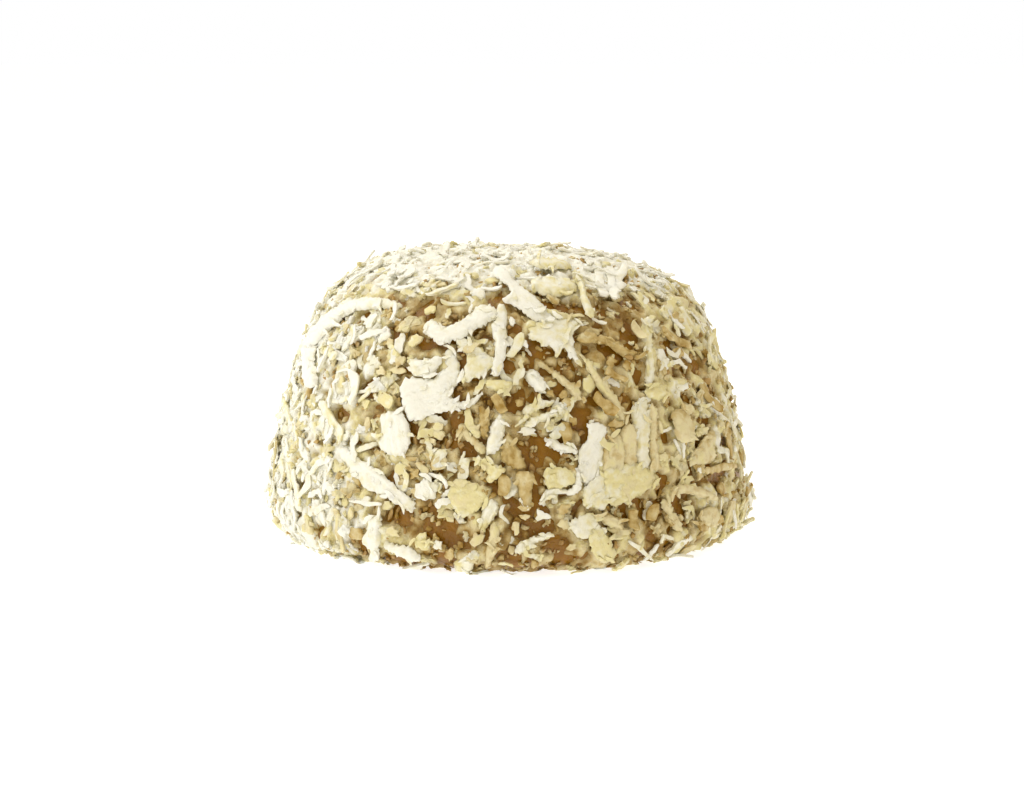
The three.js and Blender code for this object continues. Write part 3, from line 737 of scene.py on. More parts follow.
@dataclass
class GratedCoconut:
    """The shreds, flakes and chips: those of the front by their marks, the others by an even spread."""

    form: CakeForm
    sketch: Sketch
    coat: Coat
    shred_length: Pair = (3.2, 8.4)
    shred_width: Pair = (0.7, 1.5)
    shred_bend: float = 0.16
    shred_tip: float = 0.3
    tip_taper: int = 5
    curl_power: int = 3
    shred_ragged: float = 0.2
    ragged_step: float = 0.7
    shred_curl: float = 0.7
    shred_thick: float = 0.34
    shred_lift: float = 0.6
    shred_easing: int = 2
    shred_waver: float = 0.12
    shred_swell: Pair = (0.7, 1.15)
    shred_lumps: float = 0.2
    lump_steps: float = 4.0
    shred_cup: Pair = (-0.25, 0.35)
    shred_roll: float = 0.25
    shred_twist: float = 0.5
    shred_skew: float = 0.5
    shred_end: float = 0.08
    piece_step: float = 2.0
    piece_ragged: float = 1.1
    piece_grid: float = 3.0
    piece_bevel: float = 0.12
    piece_dome: float = 0.06
    piece_fibre: float = 0.75
    fibre_relief: float = 0.08
    piece_thick: Pair = (0.3, 0.16)
    piece_broad: float = 0.95
    piece_lift: Pair = (0.48, 0.68)
    pile: float = 0.6
    piece_tilt: float = 0.12
    piece_slope: float = 0.3
    piece_wave: float = 0.07
    wave_rate: Pair = (1.0, 2.0)
    piece_grain: float = 0.03
    piece_sunk: float = 0.1
    piece_rim: float = 0.3
    piece_shade: float = 0.03
    thread_share: float = 0.035
    fewest_threads: int = 3
    thread_stations: int = 6
    thread_length: Pair = (0.6, 1.7)
    thread_width: Pair = (0.2, 0.42)
    thread_thick: float = 0.18
    thread_bow: float = 0.2
    thread_spread: float = 1.2
    thread_fullness: float = 1.1
    thread_taper: int = 3
    thread_rise: Pair = (-0.1, 0.06)
    thread_waver: float = 0.04
    thread_shade: Pair = (-0.12, 0.06)
    thread_tip: float = 0.05
    flake_length: Pair = (2.6, 5.6)
    flake_slimness: Pair = (0.5, 0.85)
    flake_corners: int = 6
    flake_ragged: float = 0.22
    flake_tilt: float = 0.22
    flake_thick: float = 0.3
    flake_lift: float = 0.78
    flake_cup: Pair = (-0.2, 0.4)
    flake_ripple: float = 0.12
    ripple_rate: Pair = (1.2, 2.2)
    flake_droop: float = 0.4
    flake_shade: float = 0.16
    chip_width: Pair = (1.5, 2.3)
    chip_flatness: float = 0.35
    chip_slimness: Pair = (0.6, 1.0)
    chip_corners: int = 5
    chip_ragged: float = 0.25
    chip_edge: float = 0.24
    chip_slope: float = 0.2
    chip_sectors: int = 14
    chip_rings: tuple[float, ...] = (0.5, 0.85, 1.0)
    chip_lift: float = 0.6
    chip_draws: int = 12
    spread_pieces: int = 196
    spread_jitter: float = 1.1
    shred_share: float = 0.56
    flake_share: float = 0.76
    front_facing: float = 0.24
    spread_seed: int = 20431
    shape_seed: int = 7
    tone_spread: float = 0.04
    station_step: float = 0.24
    station_count: tuple[int, int] = (6, 36)
    section_points: int = 8
    section_roundness: float = 0.5
    section_rim: int = 4
    flake_sectors: int = 44
    flake_edge: float = 0.2
    flake_rings: tuple[float, ...] = (0.34, 0.66, 0.88, 1.0)
    batches: dict[str, MeshBatch] = field(init=False)
    rng: Generator = field(init=False)

    def __post_init__(self) -> None:
        """Starts a batch for each kind of piece."""
        kinds = ("pieces", "threads", "shreds", "flakes", "chips")
        self.batches = {kind: MeshBatch(self.form) for kind in kinds}
        self.rng = np.random.default_rng(self.shape_seed)

    def build(self, material: Material) -> list[Object]:
        """Lays all pieces and makes one object of each kind.

        Args:
            material: The coconut's finish.

        Returns:
            The objects of the front's torn pieces and their threads, the shreds, the flakes and the chips.
        """
        self.lay_front()
        self.lay_spread()
        return [batch.build(f"coconut_{kind}", material) for kind, batch in self.batches.items()]

    def lay_front(self) -> None:
        """Lays the front's pieces where they are marked."""
        for tone, outlines in FRONT_PIECES.items():
            for outline in outlines:
                self.piece(outline, self.near(tone))
        for tone, rows in FRONT_SHREDS.items():
            for *mark, width in rows:
                curls = self.rng.uniform(0, self.shred_curl, 2)
                self.shred(self.trail_on_sketch(mark), width / self.sketch.scale, curls, self.near(tone))
        for tone, rows in FRONT_CHIPS.items():
            for x, y, breadth, height in rows:
                size = (breadth / self.sketch.scale, height / self.sketch.scale)
                self.chip(self.sketch.spots(x, y), size, 0.0, self.near(tone))

    def piece(self, outline: tuple[Pair, ...], tone: float) -> None:
        """Adds a torn piece by its outline on the sketch: a rounded slab, thinner where it is broad.

        Args:
            outline: Its corners in order.
            tone: Its tone.
        """
        rim = torn_outline(np.array(outline, float), self.piece_step, self.piece_ragged, self.rng)
        marks, triangles = filled_outline(rim, self.piece_grid)
        inset = edge_distance(marks, rim) / self.sketch.scale
        inset[: len(rim)] = 0
        thick = self.piece_thick[0] if inset.max() < self.piece_broad else self.piece_thick[1]
        rounded = np.sqrt(1 - (1 - np.clip(inset / self.piece_bevel, 0, 1)) ** 2)
        dome = self.piece_dome * np.clip(inset / self.piece_broad, 0, 1)
        spots = self.sketch.spots(marks[:, 0], marks[:, 1])
        across = (marks - marks.mean(0)) / self.sketch.scale
        fold = self.rng.uniform(0, 2 * math.pi)
        along = across @ np.array([math.cos(fold), math.sin(fold)])
        wave = self.piece_wave * np.sin(along * self.rng.uniform(*self.wave_rate) + fold)
        slope = np.clip(along * self.rng.uniform(0, self.piece_tilt), -self.piece_slope, self.piece_slope)
        piled = self.pile * self.coat.thickness(spots).mean()
        lift = self.rng.uniform(*self.piece_lift) + wave + slope + piled
        lengthwise = np.linalg.svd(across, full_matrices=False)[2][0]
        beside = across @ np.array([-lengthwise[1], lengthwise[0]])
        streak = np.sin(beside * 2 * np.pi / self.piece_fibre + np.sin(across @ lengthwise + fold))
        grain = self.rng.uniform(-self.piece_grain, self.piece_grain, len(marks)) + self.fibre_relief * streak
        top = lift + thick * (rounded - 0.5) + dome + grain
        under = lift - thick / 2 - self.piece_sunk
        points = np.concatenate([spots.point + spots.normal * h[:, None] for h in (top, under)])
        count, edge = len(marks), len(rim)
        faces = [tuple(t) for t in triangles] + [(c + count, b + count, a + count) for a, b, c in triangles]
        faces += [(j, (j + 1) % edge, (j + 1) % edge + count, j + count) for j in range(edge)]
        nearness = np.tile(1 - np.clip(inset / self.piece_rim, 0, 1), 2)
        self.batches["pieces"].add(points, faces, tone + self.piece_shade * np.tile(along, 2), nearness)
        heading = math.atan2(lengthwise[1], lengthwise[0])
        self.threads(marks, heading, float(lift.mean()) + thick / 2, tone)

    def threads(self, marks: Array, heading: float, lift: float, tone: float) -> None:
        """Adds the fine threads of a torn piece, which lie over it and hang out past its edge.

        Args:
            marks: The piece's points on the sketch.
            heading: The way that its fibres run.
            lift: How far its upper side stands off the cake.
            tone: Its tone.
        """
        count = max(self.fewest_threads, round(self.thread_share * len(marks)))
        share = np.linspace(0, 1, self.thread_stations)
        start = marks[self.rng.choice(len(marks), count)]
        turn = heading + self.rng.normal(0, self.thread_spread, count)
        turn = turn + np.pi * self.rng.integers(0, 2, count)
        length = self.rng.uniform(*self.thread_length, count) * self.sketch.scale
        bow = self.rng.uniform(-self.thread_bow, self.thread_bow, count)[:, None] * np.sin(share * np.pi)
        ahead = np.stack([np.cos(turn), np.sin(turn)], 1)[:, None] * length[:, None, None]
        beside = np.stack([-ahead[..., 1], ahead[..., 0]], -1)
        trail = start[:, None] + ahead * (share - 0.5)[:, None] + beside * bow[..., None]
        spots = self.sketch.spots(trail[..., 0].ravel(), trail[..., 1].ravel())
        centre = spots.point.reshape(count, -1, 3)
        over = spots.normal.reshape(count, -1, 3)
        along = unit(np.gradient(centre, axis=1))
        across = np.cross(over, along)
        corners = np.array([[1, 1], [-1, 1], [-1, -1], [1, -1]]) / 2
        slim = (self.thread_fullness - np.abs(2 * share - 1) ** self.thread_taper)[:, None]
        width = self.rng.uniform(*self.thread_width, (count, 1, 1)) * slim
        rise = lift + self.rng.uniform(*self.thread_rise, (count, 1, 1))
        rise = rise + self.rng.uniform(-self.thread_waver, self.thread_waver, width.shape)
        aside = (corners[:, 0] * width)[..., None]
        above = (corners[:, 1] * self.thread_thick + rise)[..., None]
        rings = centre[:, :, None] + across[:, :, None] * aside + over[:, :, None] * above
        sides = tube_faces(self.thread_stations, len(corners))
        for ring, way, shade in zip(rings, along, self.rng.uniform(*self.thread_shade, count)):
            tips = ring[[0, -1]].mean(1) + way[[0, -1]] * self.thread_tip * np.array([[-1], [1]])
            self.batches["threads"].add(np.concatenate([ring.reshape(-1, 3), tips]), sides, tone + shade)

    def near(self, tone: Tone) -> float:
        """Draws a tone close to a named one."""
        return float(np.clip(tone.value + self.rng.uniform(-self.tone_spread, self.tone_spread), 0, 1))

    def any_tone(self) -> float:
        """Draws a tone as the front's pieces have them."""
        chosen = self.rng.choice(len(TONE_SHARES), p=list(TONE_SHARES.values()))
        return self.near(list(TONE_SHARES)[chosen])

    def lay_spread(self) -> None:
        """Lays the pieces of the back, the sides and the crown by the solid's own seeded draws."""
        draws = Draws(self.spread_seed)
        spots = self.spread_spots(draws)
        for i in np.flatnonzero(spots.normal @ self.sketch.back < self.front_facing):
            self.drawn_piece(draws, spots.at(i))

    def spread_spots(self, draws: Draws) -> Spots:
        """Gives places spread evenly over the cake by a golden turn, each with a seeded jitter."""
        numbers = np.arange(self.spread_pieces)
        golden_turn = math.pi * (3 - math.sqrt(5))
        climbs = self.form.climb_of_share((numbers + 0.5) / self.spread_pieces)
        even = self.form.spots(numbers * golden_turn, climbs)
        jitter = np.array(
            [[draws.between(-self.spread_jitter, self.spread_jitter) for _ in range(2)] for _ in numbers]
        )
        return self.form.step(even, jitter[:, 0], jitter[:, 1])

    def drawn_piece(self, draws: Draws, middle: Spots) -> None:
        """Lays a piece of a drawn kind and size.

        Args:
            draws: The seeded draws.
            middle: Where the piece lies.
        """
        kind = draws.between(0, 1)
        turn = draws.between(0, 2 * math.pi)
        if kind < self.shred_share:
            length = draws.between(*self.shred_length)
            bow = draws.between(-self.shred_bend, self.shred_bend)
            width = draws.between(*self.shred_width)
            curls = np.array([draws.between(0, self.shred_curl) for _ in range(2)])
            self.shred(self.trail_about(middle, length, turn, bow), width, curls, self.any_tone())
        elif kind < self.flake_share:
            length = draws.between(*self.flake_length)
            breadth = length * draws.between(*self.flake_slimness)
            ragged = [draws.between(-self.flake_ragged, self.flake_ragged) for _ in range(self.flake_corners)]
            tilt = draws.between(-self.flake_tilt, self.flake_tilt)
            self.flake(middle, (length, breadth), turn, 1 + np.array(ragged), tilt, self.any_tone())
        else:
            width = draws.between(*self.chip_width)
            for _ in range(self.chip_draws):
                draws.between(0, 1)
            height = width * self.rng.uniform(*self.chip_slimness)
            self.chip(middle, (width, height), turn, self.any_tone())

    def stations(self, length: float) -> Array:
        """Gives the shares of a shred's length at which it has a section."""
        return np.linspace(0, 1, int(np.clip(round(length / self.station_step), *self.station_count)) + 1)

    def trail_on_sketch(self, mark: list[float]) -> Spots:
        """Finds the places under a bowed line between two marks.

        Args:
            mark: From x, y to x, y, and the sideways bow.

        Returns:
            The places along the line.
        """
        from_x, from_y, to_x, to_y, bow = mark
        length = math.hypot(to_x - from_x, to_y - from_y)
        share = self.stations(length / self.sketch.scale)
        aside = bow * 4 * share * (1 - share) / length
        x = from_x + (to_x - from_x) * share - (to_y - from_y) * aside
        y = from_y + (to_y - from_y) * share + (to_x - from_x) * aside
        return self.sketch.spots(x, y)

    def trail_about(self, middle: Spots, length: float, turn: float, bow: float) -> Spots:
        """Finds the places under a bowed line about a place.

        Args:
            middle: The line's middle.
            length: Its length.
            turn: Its heading, from level.
            bow: Its sideways bow, as a share of the length.

        Returns:
            The places along the line.
        """
        share = self.stations(length)
        along = (share - 0.5) * length
        aside = bow * length * 4 * share * (1 - share)
        return self.form.step(middle, *turned(along, aside, turn))

    def wander(self, share: Array, length: float, most: float) -> Array:
        """Draws an uneven run of values along a strip.

        Args:
            share: The places along it, from 0 to 1.
            length: Its length.
            most: How far a value may lie from zero.

        Returns:
            The values, with a turn about every strip's ragged step.
        """
        knots = max(3, round(length / self.ragged_step)) + 1
        return np.interp(share, np.linspace(0, 1, knots), self.rng.uniform(-most, most, knots))

    def shred(self, trail: Spots, width: float, curls: Array, tone: float) -> None:
        """Adds a shred: a torn strip with a flattened section, whose ends may stand off the cake.

        Args:
            trail: The places that it runs over.
            width: Its width at the middle.
            curls: How far its two ends stand off.
            tone: Its tone.
        """
        count = len(trail.angle)
        share = np.linspace(0, 1, count)
        length = np.linalg.norm(np.diff(trail.point, axis=0), axis=1).sum()
        centre = trail.point.copy()
        for _ in range(self.shred_easing):
            centre[1:-1] = (centre[:-2] + 2 * centre[1:-1] + centre[2:]) / 4
        along = unit(np.gradient(centre, axis=0))
        across = unit(np.cross(trail.normal, along))
        over = np.cross(along, across)
        tips = self.rng.uniform(self.shred_tip, 1, 2)
        slim = 1 - (1 - tips[0] * (1 - share) - tips[1] * share) * np.abs(2 * share - 1) ** self.tip_taper
        lift = self.shred_lift + self.wander(share, length, self.shred_waver)
        lift = lift + curls[0] * (1 - share) ** self.curl_power + curls[1] * share**self.curl_power
        bevel = np.linspace(0, 2 * np.pi, self.section_points, endpoint=False) + np.pi / self.section_points
        wide = np.sign(np.cos(bevel)) * np.abs(np.cos(bevel)) ** self.section_roundness
        tall = np.sign(np.sin(bevel)) * np.abs(np.sin(bevel)) ** self.section_roundness
        left = self.wander(share, length, self.shred_ragged)[:, None]
        right = self.wander(share, length, self.shred_ragged)[:, None]
        broad = slim[:, None] * width / 2
        aside = wide * (broad + np.where(wide < 0, left, right) * np.minimum(1, broad / self.shred_thick))
        thick = self.shred_thick * self.rng.uniform(*self.shred_swell)
        thick = thick * (1 + self.wander(share, length / self.lump_steps, self.shred_lumps))
        cup = self.rng.uniform(*self.shred_cup) / width
        above = tall * thick[:, None] / 2 + cup * aside**2
        roll = self.rng.uniform(-self.shred_roll, self.shred_roll)
        twist = roll + self.rng.uniform(-self.shred_twist, self.shred_twist) * (share - 0.5)
        turned_aside = aside * np.cos(twist)[:, None] - above * np.sin(twist)[:, None]
        turned_above = aside * np.sin(twist)[:, None] + above * np.cos(twist)[:, None] + lift[:, None]
        skew = np.zeros((count, 1))
        skew[0], skew[-1] = self.rng.uniform(-self.shred_skew, self.shred_skew, 2)
        rings = (
            centre[:, None]
            + across[:, None] * turned_aside[..., None]
            + over[:, None] * turned_above[..., None]
            + along[:, None] * (skew * aside)[..., None]
        )
        ends = rings[[0, -1]].mean(1) + along[[0, -1]] * np.array([[-1], [1]]) * self.shred_end * width
        points = np.concatenate([rings.reshape(-1, 3), ends])
        rim = np.concatenate([np.tile(np.abs(wide) ** self.section_rim, count), [1.0, 1.0]])
        self.batches["shreds"].add(points, tube_faces(count, self.section_points), tone, rim)

    def flake(
        self, middle: Spots, size: Pair, turn: float, corners: Array, tilt: float, tone: float
    ) -> None:
        """Adds a flake: a thin slice with uneven corners along the cake, a little aslant and cupped.

        Args:
            middle: Where its middle lies.
            size: Its length and breadth.
            turn: The long side's heading, from level.
            corners: How far each corner stands out, about one.
            tilt: Its slope along its length.
            tone: Its tone.
        """
        ragged = self.flake_edge / min(size)
        points, faces, rim = torn_slice(self.rng, self.flake_sectors, self.flake_rings, corners, ragged)
        along, aside = points[:, 0] * size[0], points[:, 1] * size[1]
        foot = self.form.step(middle, *turned(along, aside, turn))
        out = np.hypot(points[:, 0], points[:, 1]) * 2
        cup = self.rng.uniform(*self.flake_cup)
        fold = self.rng.uniform(0, 2 * math.pi)
        across_fold = along * math.cos(fold) + aside * math.sin(fold)
        ripple = self.flake_ripple * np.sin(across_fold * self.rng.uniform(*self.ripple_rate))
        rise = self.flake_lift + np.maximum(tilt * along, -self.flake_droop) + cup * out**2 + ripple
        rise = rise + points[:, 2] * self.flake_thick
        shade = points[:, 0] * math.cos(fold) + points[:, 1] * math.sin(fold)
        spot = foot.point + foot.normal * rise[:, None]
        self.batches["flakes"].add(spot, faces, tone + self.flake_shade * shade, rim)

    def chip(self, middle: Spots, size: Pair, turn: float, tone: float) -> None:
        """Adds a chip: a small angular lump pressed into the cake.

        Args:
            middle: Where it lies.
            size: Its breadth and height along the cake.
            turn: Its heading, from level.
            tone: Its tone.
        """
        corners = 1 + self.rng.uniform(-1, 1, self.chip_corners) * self.chip_ragged
        points, faces, rim = torn_slice(
            self.rng, self.chip_sectors, self.chip_rings, corners, self.chip_edge
        )
        thick = self.chip_flatness * min(size)
        along, aside, above = (points * np.array([size[0], size[1], thick])).T
        slopes = self.rng.uniform(-self.chip_slope, self.chip_slope, 2)
        above = above + slopes[0] * along + slopes[1] * aside
        level, uphill = turned(along, aside, turn)
        spot = (
            middle.point
            + middle.level * level[:, None]
            + middle.uphill * uphill[:, None]
            + middle.normal * (above + self.chip_lift)[:, None]
        )
        self.batches["chips"].add(spot, faces, tone, rim)


def torn_outline(corners: Array, step: float, ragged: float, rng: Generator) -> Array:
    """Rounds an outline's corners a little and tears its edge.

    Args:
        corners: Its corners in order.
        step: About how far apart the new outline's points lie.
        ragged: How far a point may be torn in or out.
        rng: The seeded draws.

    Returns:
        The new outline's points.
    """
    cut, rounds = 0.2, 2
    fewest_points, fewest_knots, points_to_knot, fringe = 10, 5, 4, 1.3
    for _ in range(rounds):
        ahead = np.roll(corners, -1, 0)
        cuts = [(1 - cut) * corners + cut * ahead, cut * corners + (1 - cut) * ahead]
        corners = np.stack(cuts, 1).reshape(-1, 2)
    closed = np.concatenate([corners, corners[:1]])
    run = np.concatenate([[0.0], np.cumsum(np.linalg.norm(np.diff(closed, axis=0), axis=1))])
    at = np.linspace(0, run[-1], max(fewest_points, round(run[-1] / step)), endpoint=False)
    points = np.stack([np.interp(at, run, closed[:, k]) for k in (0, 1)], 1)
    along = unit(np.roll(points, -1, 0) - np.roll(points, 1, 0))
    knots = rng.uniform(-ragged, ragged, max(fewest_knots, len(points) // points_to_knot))
    knots = np.concatenate([knots, knots[:1]])
    torn = np.interp(np.arange(len(points)), np.linspace(0, len(points), len(knots)), knots)
    torn += fringe * rng.uniform(-1, 1, len(points)) ** 3 * ragged
    return points + np.stack([along[:, 1], -along[:, 0]], 1) * torn[:, None]


def inside_outline(marks: Array, outline: Array) -> Array:
    """Tells which marks lie inside an outline.

    Args:
        marks: The marks, a row each.
        outline: The outline's points in order.

    Returns:
        True for each mark inside.
    """
    inside = np.zeros(len(marks), bool)
    for (x0, y0), (x1, y1) in zip(outline, np.roll(outline, -1, 0)):
        if y0 != y1:
            crosses = (marks[:, 1] < y0) != (marks[:, 1] < y1)
            inside ^= crosses & (marks[:, 0] < x0 + (marks[:, 1] - y0) * (x1 - x0) / (y1 - y0))
    return inside


def edge_distance(marks: Array, outline: Array) -> Array:
    """Gives each mark's distance from an outline's edge.

    Args:
        marks: The marks, a row each.
        outline: The outline's points in order.

    Returns:
        The distances.
    """
    edge = np.roll(outline, -1, 0) - outline
    reach = marks[:, None] - outline
    share = np.clip((reach * edge).sum(-1) / (edge**2).sum(-1), 0, 1)
    return np.linalg.norm(reach - share[..., None] * edge, axis=-1).min(1)


def filled_outline(outline: Array, grid: float) -> tuple[Array, list[list[int]]]:
    """Fills an outline with triangles.

    Args:
        outline: Its points in order.
        grid: How far apart the points inside lie.

    Returns:
        The outline's points and the points inside, and the triangles by their numbers.
    """
    low, high = outline.min(0), outline.max(0)
    across, down = np.meshgrid(np.arange(low[0], high[0], grid), np.arange(low[1], high[1], grid))
    across = across + (np.arange(len(across)) % 2)[:, None] * grid / 2
    marks = np.stack([across.ravel(), down.ravel()], 1)
    marks = marks[inside_outline(marks, outline)]
    edge_gap = grid / 3
    marks = marks[edge_distance(marks, outline) > edge_gap] if len(marks) else marks
    points = np.concatenate([outline, marks])
    ring = list(range(len(outline)))
    fill_inside, closeness = 1, 1e-6
    found = delaunay_2d_cdt([Vector(p) for p in points], [], [ring], fill_inside, closeness)
    return np.array([list(p) for p in found[0]]), found[2]


def tube_faces(rings: int, around: int) -> Faces:
    """Gives the faces of a closed tube whose two end points follow its rings.

    Args:
        rings: How many rings it has.
        around: How many points a ring has.

    Returns:
        The faces, by vertex numbers.
    """
    faces = turned_faces(around, rings)
    first, last = rings * around, rings * around + 1
    start = (rings - 1) * around
    for j in range(around):
        nxt = (j + 1) % around
        faces.append((first, nxt, j))
        faces.append((last, start + j, start + nxt))
    return faces


def slice_faces(rings: int, sectors: int) -> Faces:
    """Gives the faces of a thin slice: a top and an underside of a middle point and rings, joined at the rim.

    Args:
        rings: How many rings each side has round its middle.
        sectors: How many points a ring has.

    Returns:
        The faces, by vertex numbers, top first.
    """
    side = 1 + rings * sectors
    faces: Faces = []
    for j in range(sectors):
        nxt = (j + 1) % sectors
        faces.append((0, 1 + j, 1 + nxt))
        faces.append((side, side + 1 + nxt, side + 1 + j))
        for k in range(rings - 1):
            inner, outer = 1 + k * sectors, 1 + (k + 1) * sectors
            faces.append((inner + j, outer + j, outer + nxt, inner + nxt))
            faces.append((side + inner + nxt, side + outer + nxt, side + outer + j, side + inner + j))
        rim = 1 + (rings - 1) * sectors
        faces.append((rim + j, side + rim + j, side + rim + nxt, rim + nxt))
    return faces


def polygon_reach(at: Array, reach: Array, heading: Array) -> Array:
    """Gives how far a polygon about the origin reaches in some headings.

    Args:
        at: The corners' headings, rising.
        reach: The corners' distances.
        heading: The headings asked for.

    Returns:
        The distances.
    """
    corners = np.stack([np.cos(at), np.sin(at)], 1) * reach[:, None]
    before = (np.searchsorted(at, heading % (2 * np.pi)) - 1) % len(at)
    start, end = corners[before], corners[(before + 1) % len(at)]
    edge = end - start
    ray = np.stack([np.cos(heading), np.sin(heading)], 1)
    return (start[:, 0] * edge[:, 1] - start[:, 1] * edge[:, 0]) / (
        ray[:, 0] * edge[:, 1] - ray[:, 1] * edge[:, 0]
    )


def torn_slice(
    rng: Generator, sectors: int, rings: tuple[float, ...], corners: Array, ragged: float
) -> Shape:
    """Makes a torn slice about one unit long, broad and thick, thinner towards its ragged rim.

    Args:
        rng: The seeded draws.
        sectors: How many points its rim has.
        rings: The shares of its reach at which it has rings of points.
        corners: How far each of its corners stands out, about one.
        ragged: How far a point of the rim may stand in or out.

    Returns:
        Its vertices, top first, its faces, and how near each vertex is to the rim.
    """
    heading = np.linspace(0, 2 * np.pi, sectors, endpoint=False)
    wander, lobe_count, thinning, lumps = 0.3, 10, 0.18, 0.15
    share_of_turn = np.arange(len(corners)) + 0.5 + rng.uniform(-wander, wander, len(corners))
    at = share_of_turn * 2 * np.pi / len(corners)
    lobe_at = np.linspace(0, 2 * np.pi, lobe_count)
    lobes = np.interp(heading, lobe_at, rng.uniform(-ragged, ragged, lobe_count))
    reach = polygon_reach(at, corners / 2, heading)
    reach = reach * (1 + lobes + rng.uniform(-ragged, ragged, sectors))
    share = np.concatenate([[0.0], np.repeat(rings, sectors)])
    flat = np.stack([np.cos(heading), np.sin(heading)], 1) * reach[:, None]
    spread = np.concatenate([[[0.0, 0.0]], np.tile(flat, (len(rings), 1))]) * share[:, None]
    half = 0.5 - thinning * share**2
    sides = [
        np.concatenate([spread, (sign * half * (1 + rng.uniform(-lumps, lumps, len(half))))[:, None]], 1)
        for sign in (1, -1)
    ]
    return np.concatenate(sides), slice_faces(len(rings), sectors), np.tile(share**3, 2)


@dataclass
class Coat:
    """How thickly the coconut lies on each part of the cake, and how much painted light and shade goes into
    its tone there.
    """

    sketch: Sketch
    left_edge: float = 400.0
    left_fade: float = 60.0
    right_edge: float = 640.0
    right_fade: float = 80.0
    top_edge: float = 300.0
    top_fade: float = 26.0
    centre_cover: float = 0.5
    edge_cover: float = 0.95
    back_cover: float = 0.5
    patch_grow: float = 1.6
    patch_core: float = 1.6
    patch_fray: float = 0.35
    fray_size: float = 0.9
    gap_size: float = 2.6
    gap_least: float = 0.45
    speck_size: float = 1.3
    speck_least: float = 0.32
    speck_edge: float = 2.0
    speck_fade: Triple = (0.8, 0.0, 1.0)
    speck_back: float = 0.35
    room_on_pieces: float = 0.08
    piece_margin: float = 3.0
    room_on_crown: float = 0.3
    room_on_edges: float = 0.85
    # Painted light and shade: tone added on the lit left and top, and taken away on the shaded right, where
    # the coconut is also a little more soaked.
    left_painted_light: float = 0.3
    top_painted_light: float = 0.52
    right_painted_shade_and_soak: float = -0.45
    back_painted_light: float = 0.0
    front_from: float = -0.25
    front_fade: float = 0.2
    crown_height: float = 25.0
    crown_fade: float = 1.6
    cover_uneven: float = 0.12
    wave_count: int = 12
    wave_lengths: Pair = (0.7, 1.4)
    wave_seed: int = 31

    def unevenness(self, points: Array, size: float) -> Array:
        """Gives a smooth uneven value from about -1 to 1 at each point.

        Args:
            points: The points.
            size: The width of a swelling.

        Returns:
            The values.
        """
        rng = np.random.default_rng(self.wave_seed)
        total = np.zeros(len(points))
        for _ in range(self.wave_count):
            wave = unit(rng.normal(size=3)) * rng.uniform(*self.wave_lengths) * math.pi / size
            total += np.sin(points @ wave + rng.uniform(0, 2 * math.pi))
        return total / math.sqrt(self.wave_count / 2)

    def marks(self, spots: Spots) -> tuple[Array, Array]:
        """Gives where the coat over each place falls on the sketch."""
        return self.sketch.marks(spots.point + spots.normal * self.sketch.coat_depth)

    def facing(self, spots: Spots) -> Array:
        """Gives how far each place belongs to the front, from 0 to 1."""
        return np.clip((spots.normal @ self.sketch.back - self.front_from) / self.front_fade, 0, 1)

    def edges(self, spots: Spots) -> tuple[Array, Array, Array]:
        """Gives how far each place lies towards the front's left, right and top, each from 0 to 1."""
        x, y = self.marks(spots)
        left = np.clip((self.left_edge - x) / self.left_fade, 0, 1)
        right = np.clip((x - self.right_edge) / self.right_fade, 0, 1)
        return left, right, np.clip((self.top_edge - y) / self.top_fade, 0, 1)

    def bareness(self, spots: Spots) -> Array:
        """Gives how bare the cake is, from 0 where it is covered to 1.

        Args:
            spots: The places asked about.

        Returns:
            The bareness at each: by the marked patches on the front, by chance elsewhere.
        """
        x, y = self.marks(spots)
        fray = self.patch_fray * self.unevenness(spots.point, self.fray_size)
        worn = np.zeros(len(x))
        for middle_x, middle_y, breadth, height in BARE_PATCHES:
            out = np.hypot((x - middle_x) / breadth, (y - middle_y) / height) * 2 / self.patch_grow
            worn = np.maximum(worn, np.clip(self.patch_core - out + fray, 0, 1))
        speckled = self.unevenness(spots.point, self.speck_size) + fray - self.speck_least
        specks = np.clip(self.speck_edge * speckled, 0, 1)
        fades = np.array(self.speck_fade)[:, None] * np.array(self.edges(spots))
        worn = np.maximum(worn, specks * (1 - fades.max(0)))
        chance = np.clip(self.unevenness(spots.point, self.gap_size) + fray - self.gap_least, 0, 1)
        chance = np.maximum(chance, specks * self.speck_back) * (1 - self.crown(spots))
        facing = self.facing(spots)
        return chance * (1 - facing) + worn * facing

    def thickness(self, spots: Spots) -> Array:
        """Gives how thickly the fine coconut clings, from 0 to 1, at each place."""
        edge = np.max(self.edges(spots), axis=0)
        front = self.centre_cover + (self.edge_cover - self.centre_cover) * edge
        facing = self.facing(spots)
        full = self.back_cover * (1 - facing) + front * facing
        uneven = self.cover_uneven * self.unevenness(spots.point, self.gap_size)
        return np.clip((full - uneven) * (1 - self.bareness(spots)), 0, 1)

    def room(self, spots: Spots) -> Array:
        """Gives how much room small coconut has, from 0 to 1: little on bare gaps and over the larger pieces.

        Args:
            spots: The places asked about.

        Returns:
            The room at each.
        """
        marks = np.stack(self.marks(spots), 1)
        taken = np.zeros(len(marks), bool)
        for rim in (np.array(outline, float) for outlines in FRONT_PIECES.values() for outline in outlines):
            low, high = rim.min(0) - self.piece_margin, rim.max(0) + self.piece_margin
            close = np.flatnonzero(((marks > low) & (marks < high)).all(1))
            apart = edge_distance(marks[close], rim)
            taken[close] |= inside_outline(marks[close], rim) | (apart < self.piece_margin)
        taken &= spots.normal @ self.sketch.back > 0
        calm = 1 - (1 - self.room_on_crown) * self.crown(spots)
        calm = np.minimum(calm, 1 - (1 - self.room_on_edges) * np.max(self.edges(spots), axis=0))
        return (1 - self.bareness(spots)) * np.where(taken, self.room_on_pieces, 1) * calm

    def crown(self, spots: Spots) -> Array:
        """Gives how far each place belongs to the crown, from 0 to 1."""
        return np.clip((spots.point[:, 2] - self.crown_height) / self.crown_fade, 0, 1)

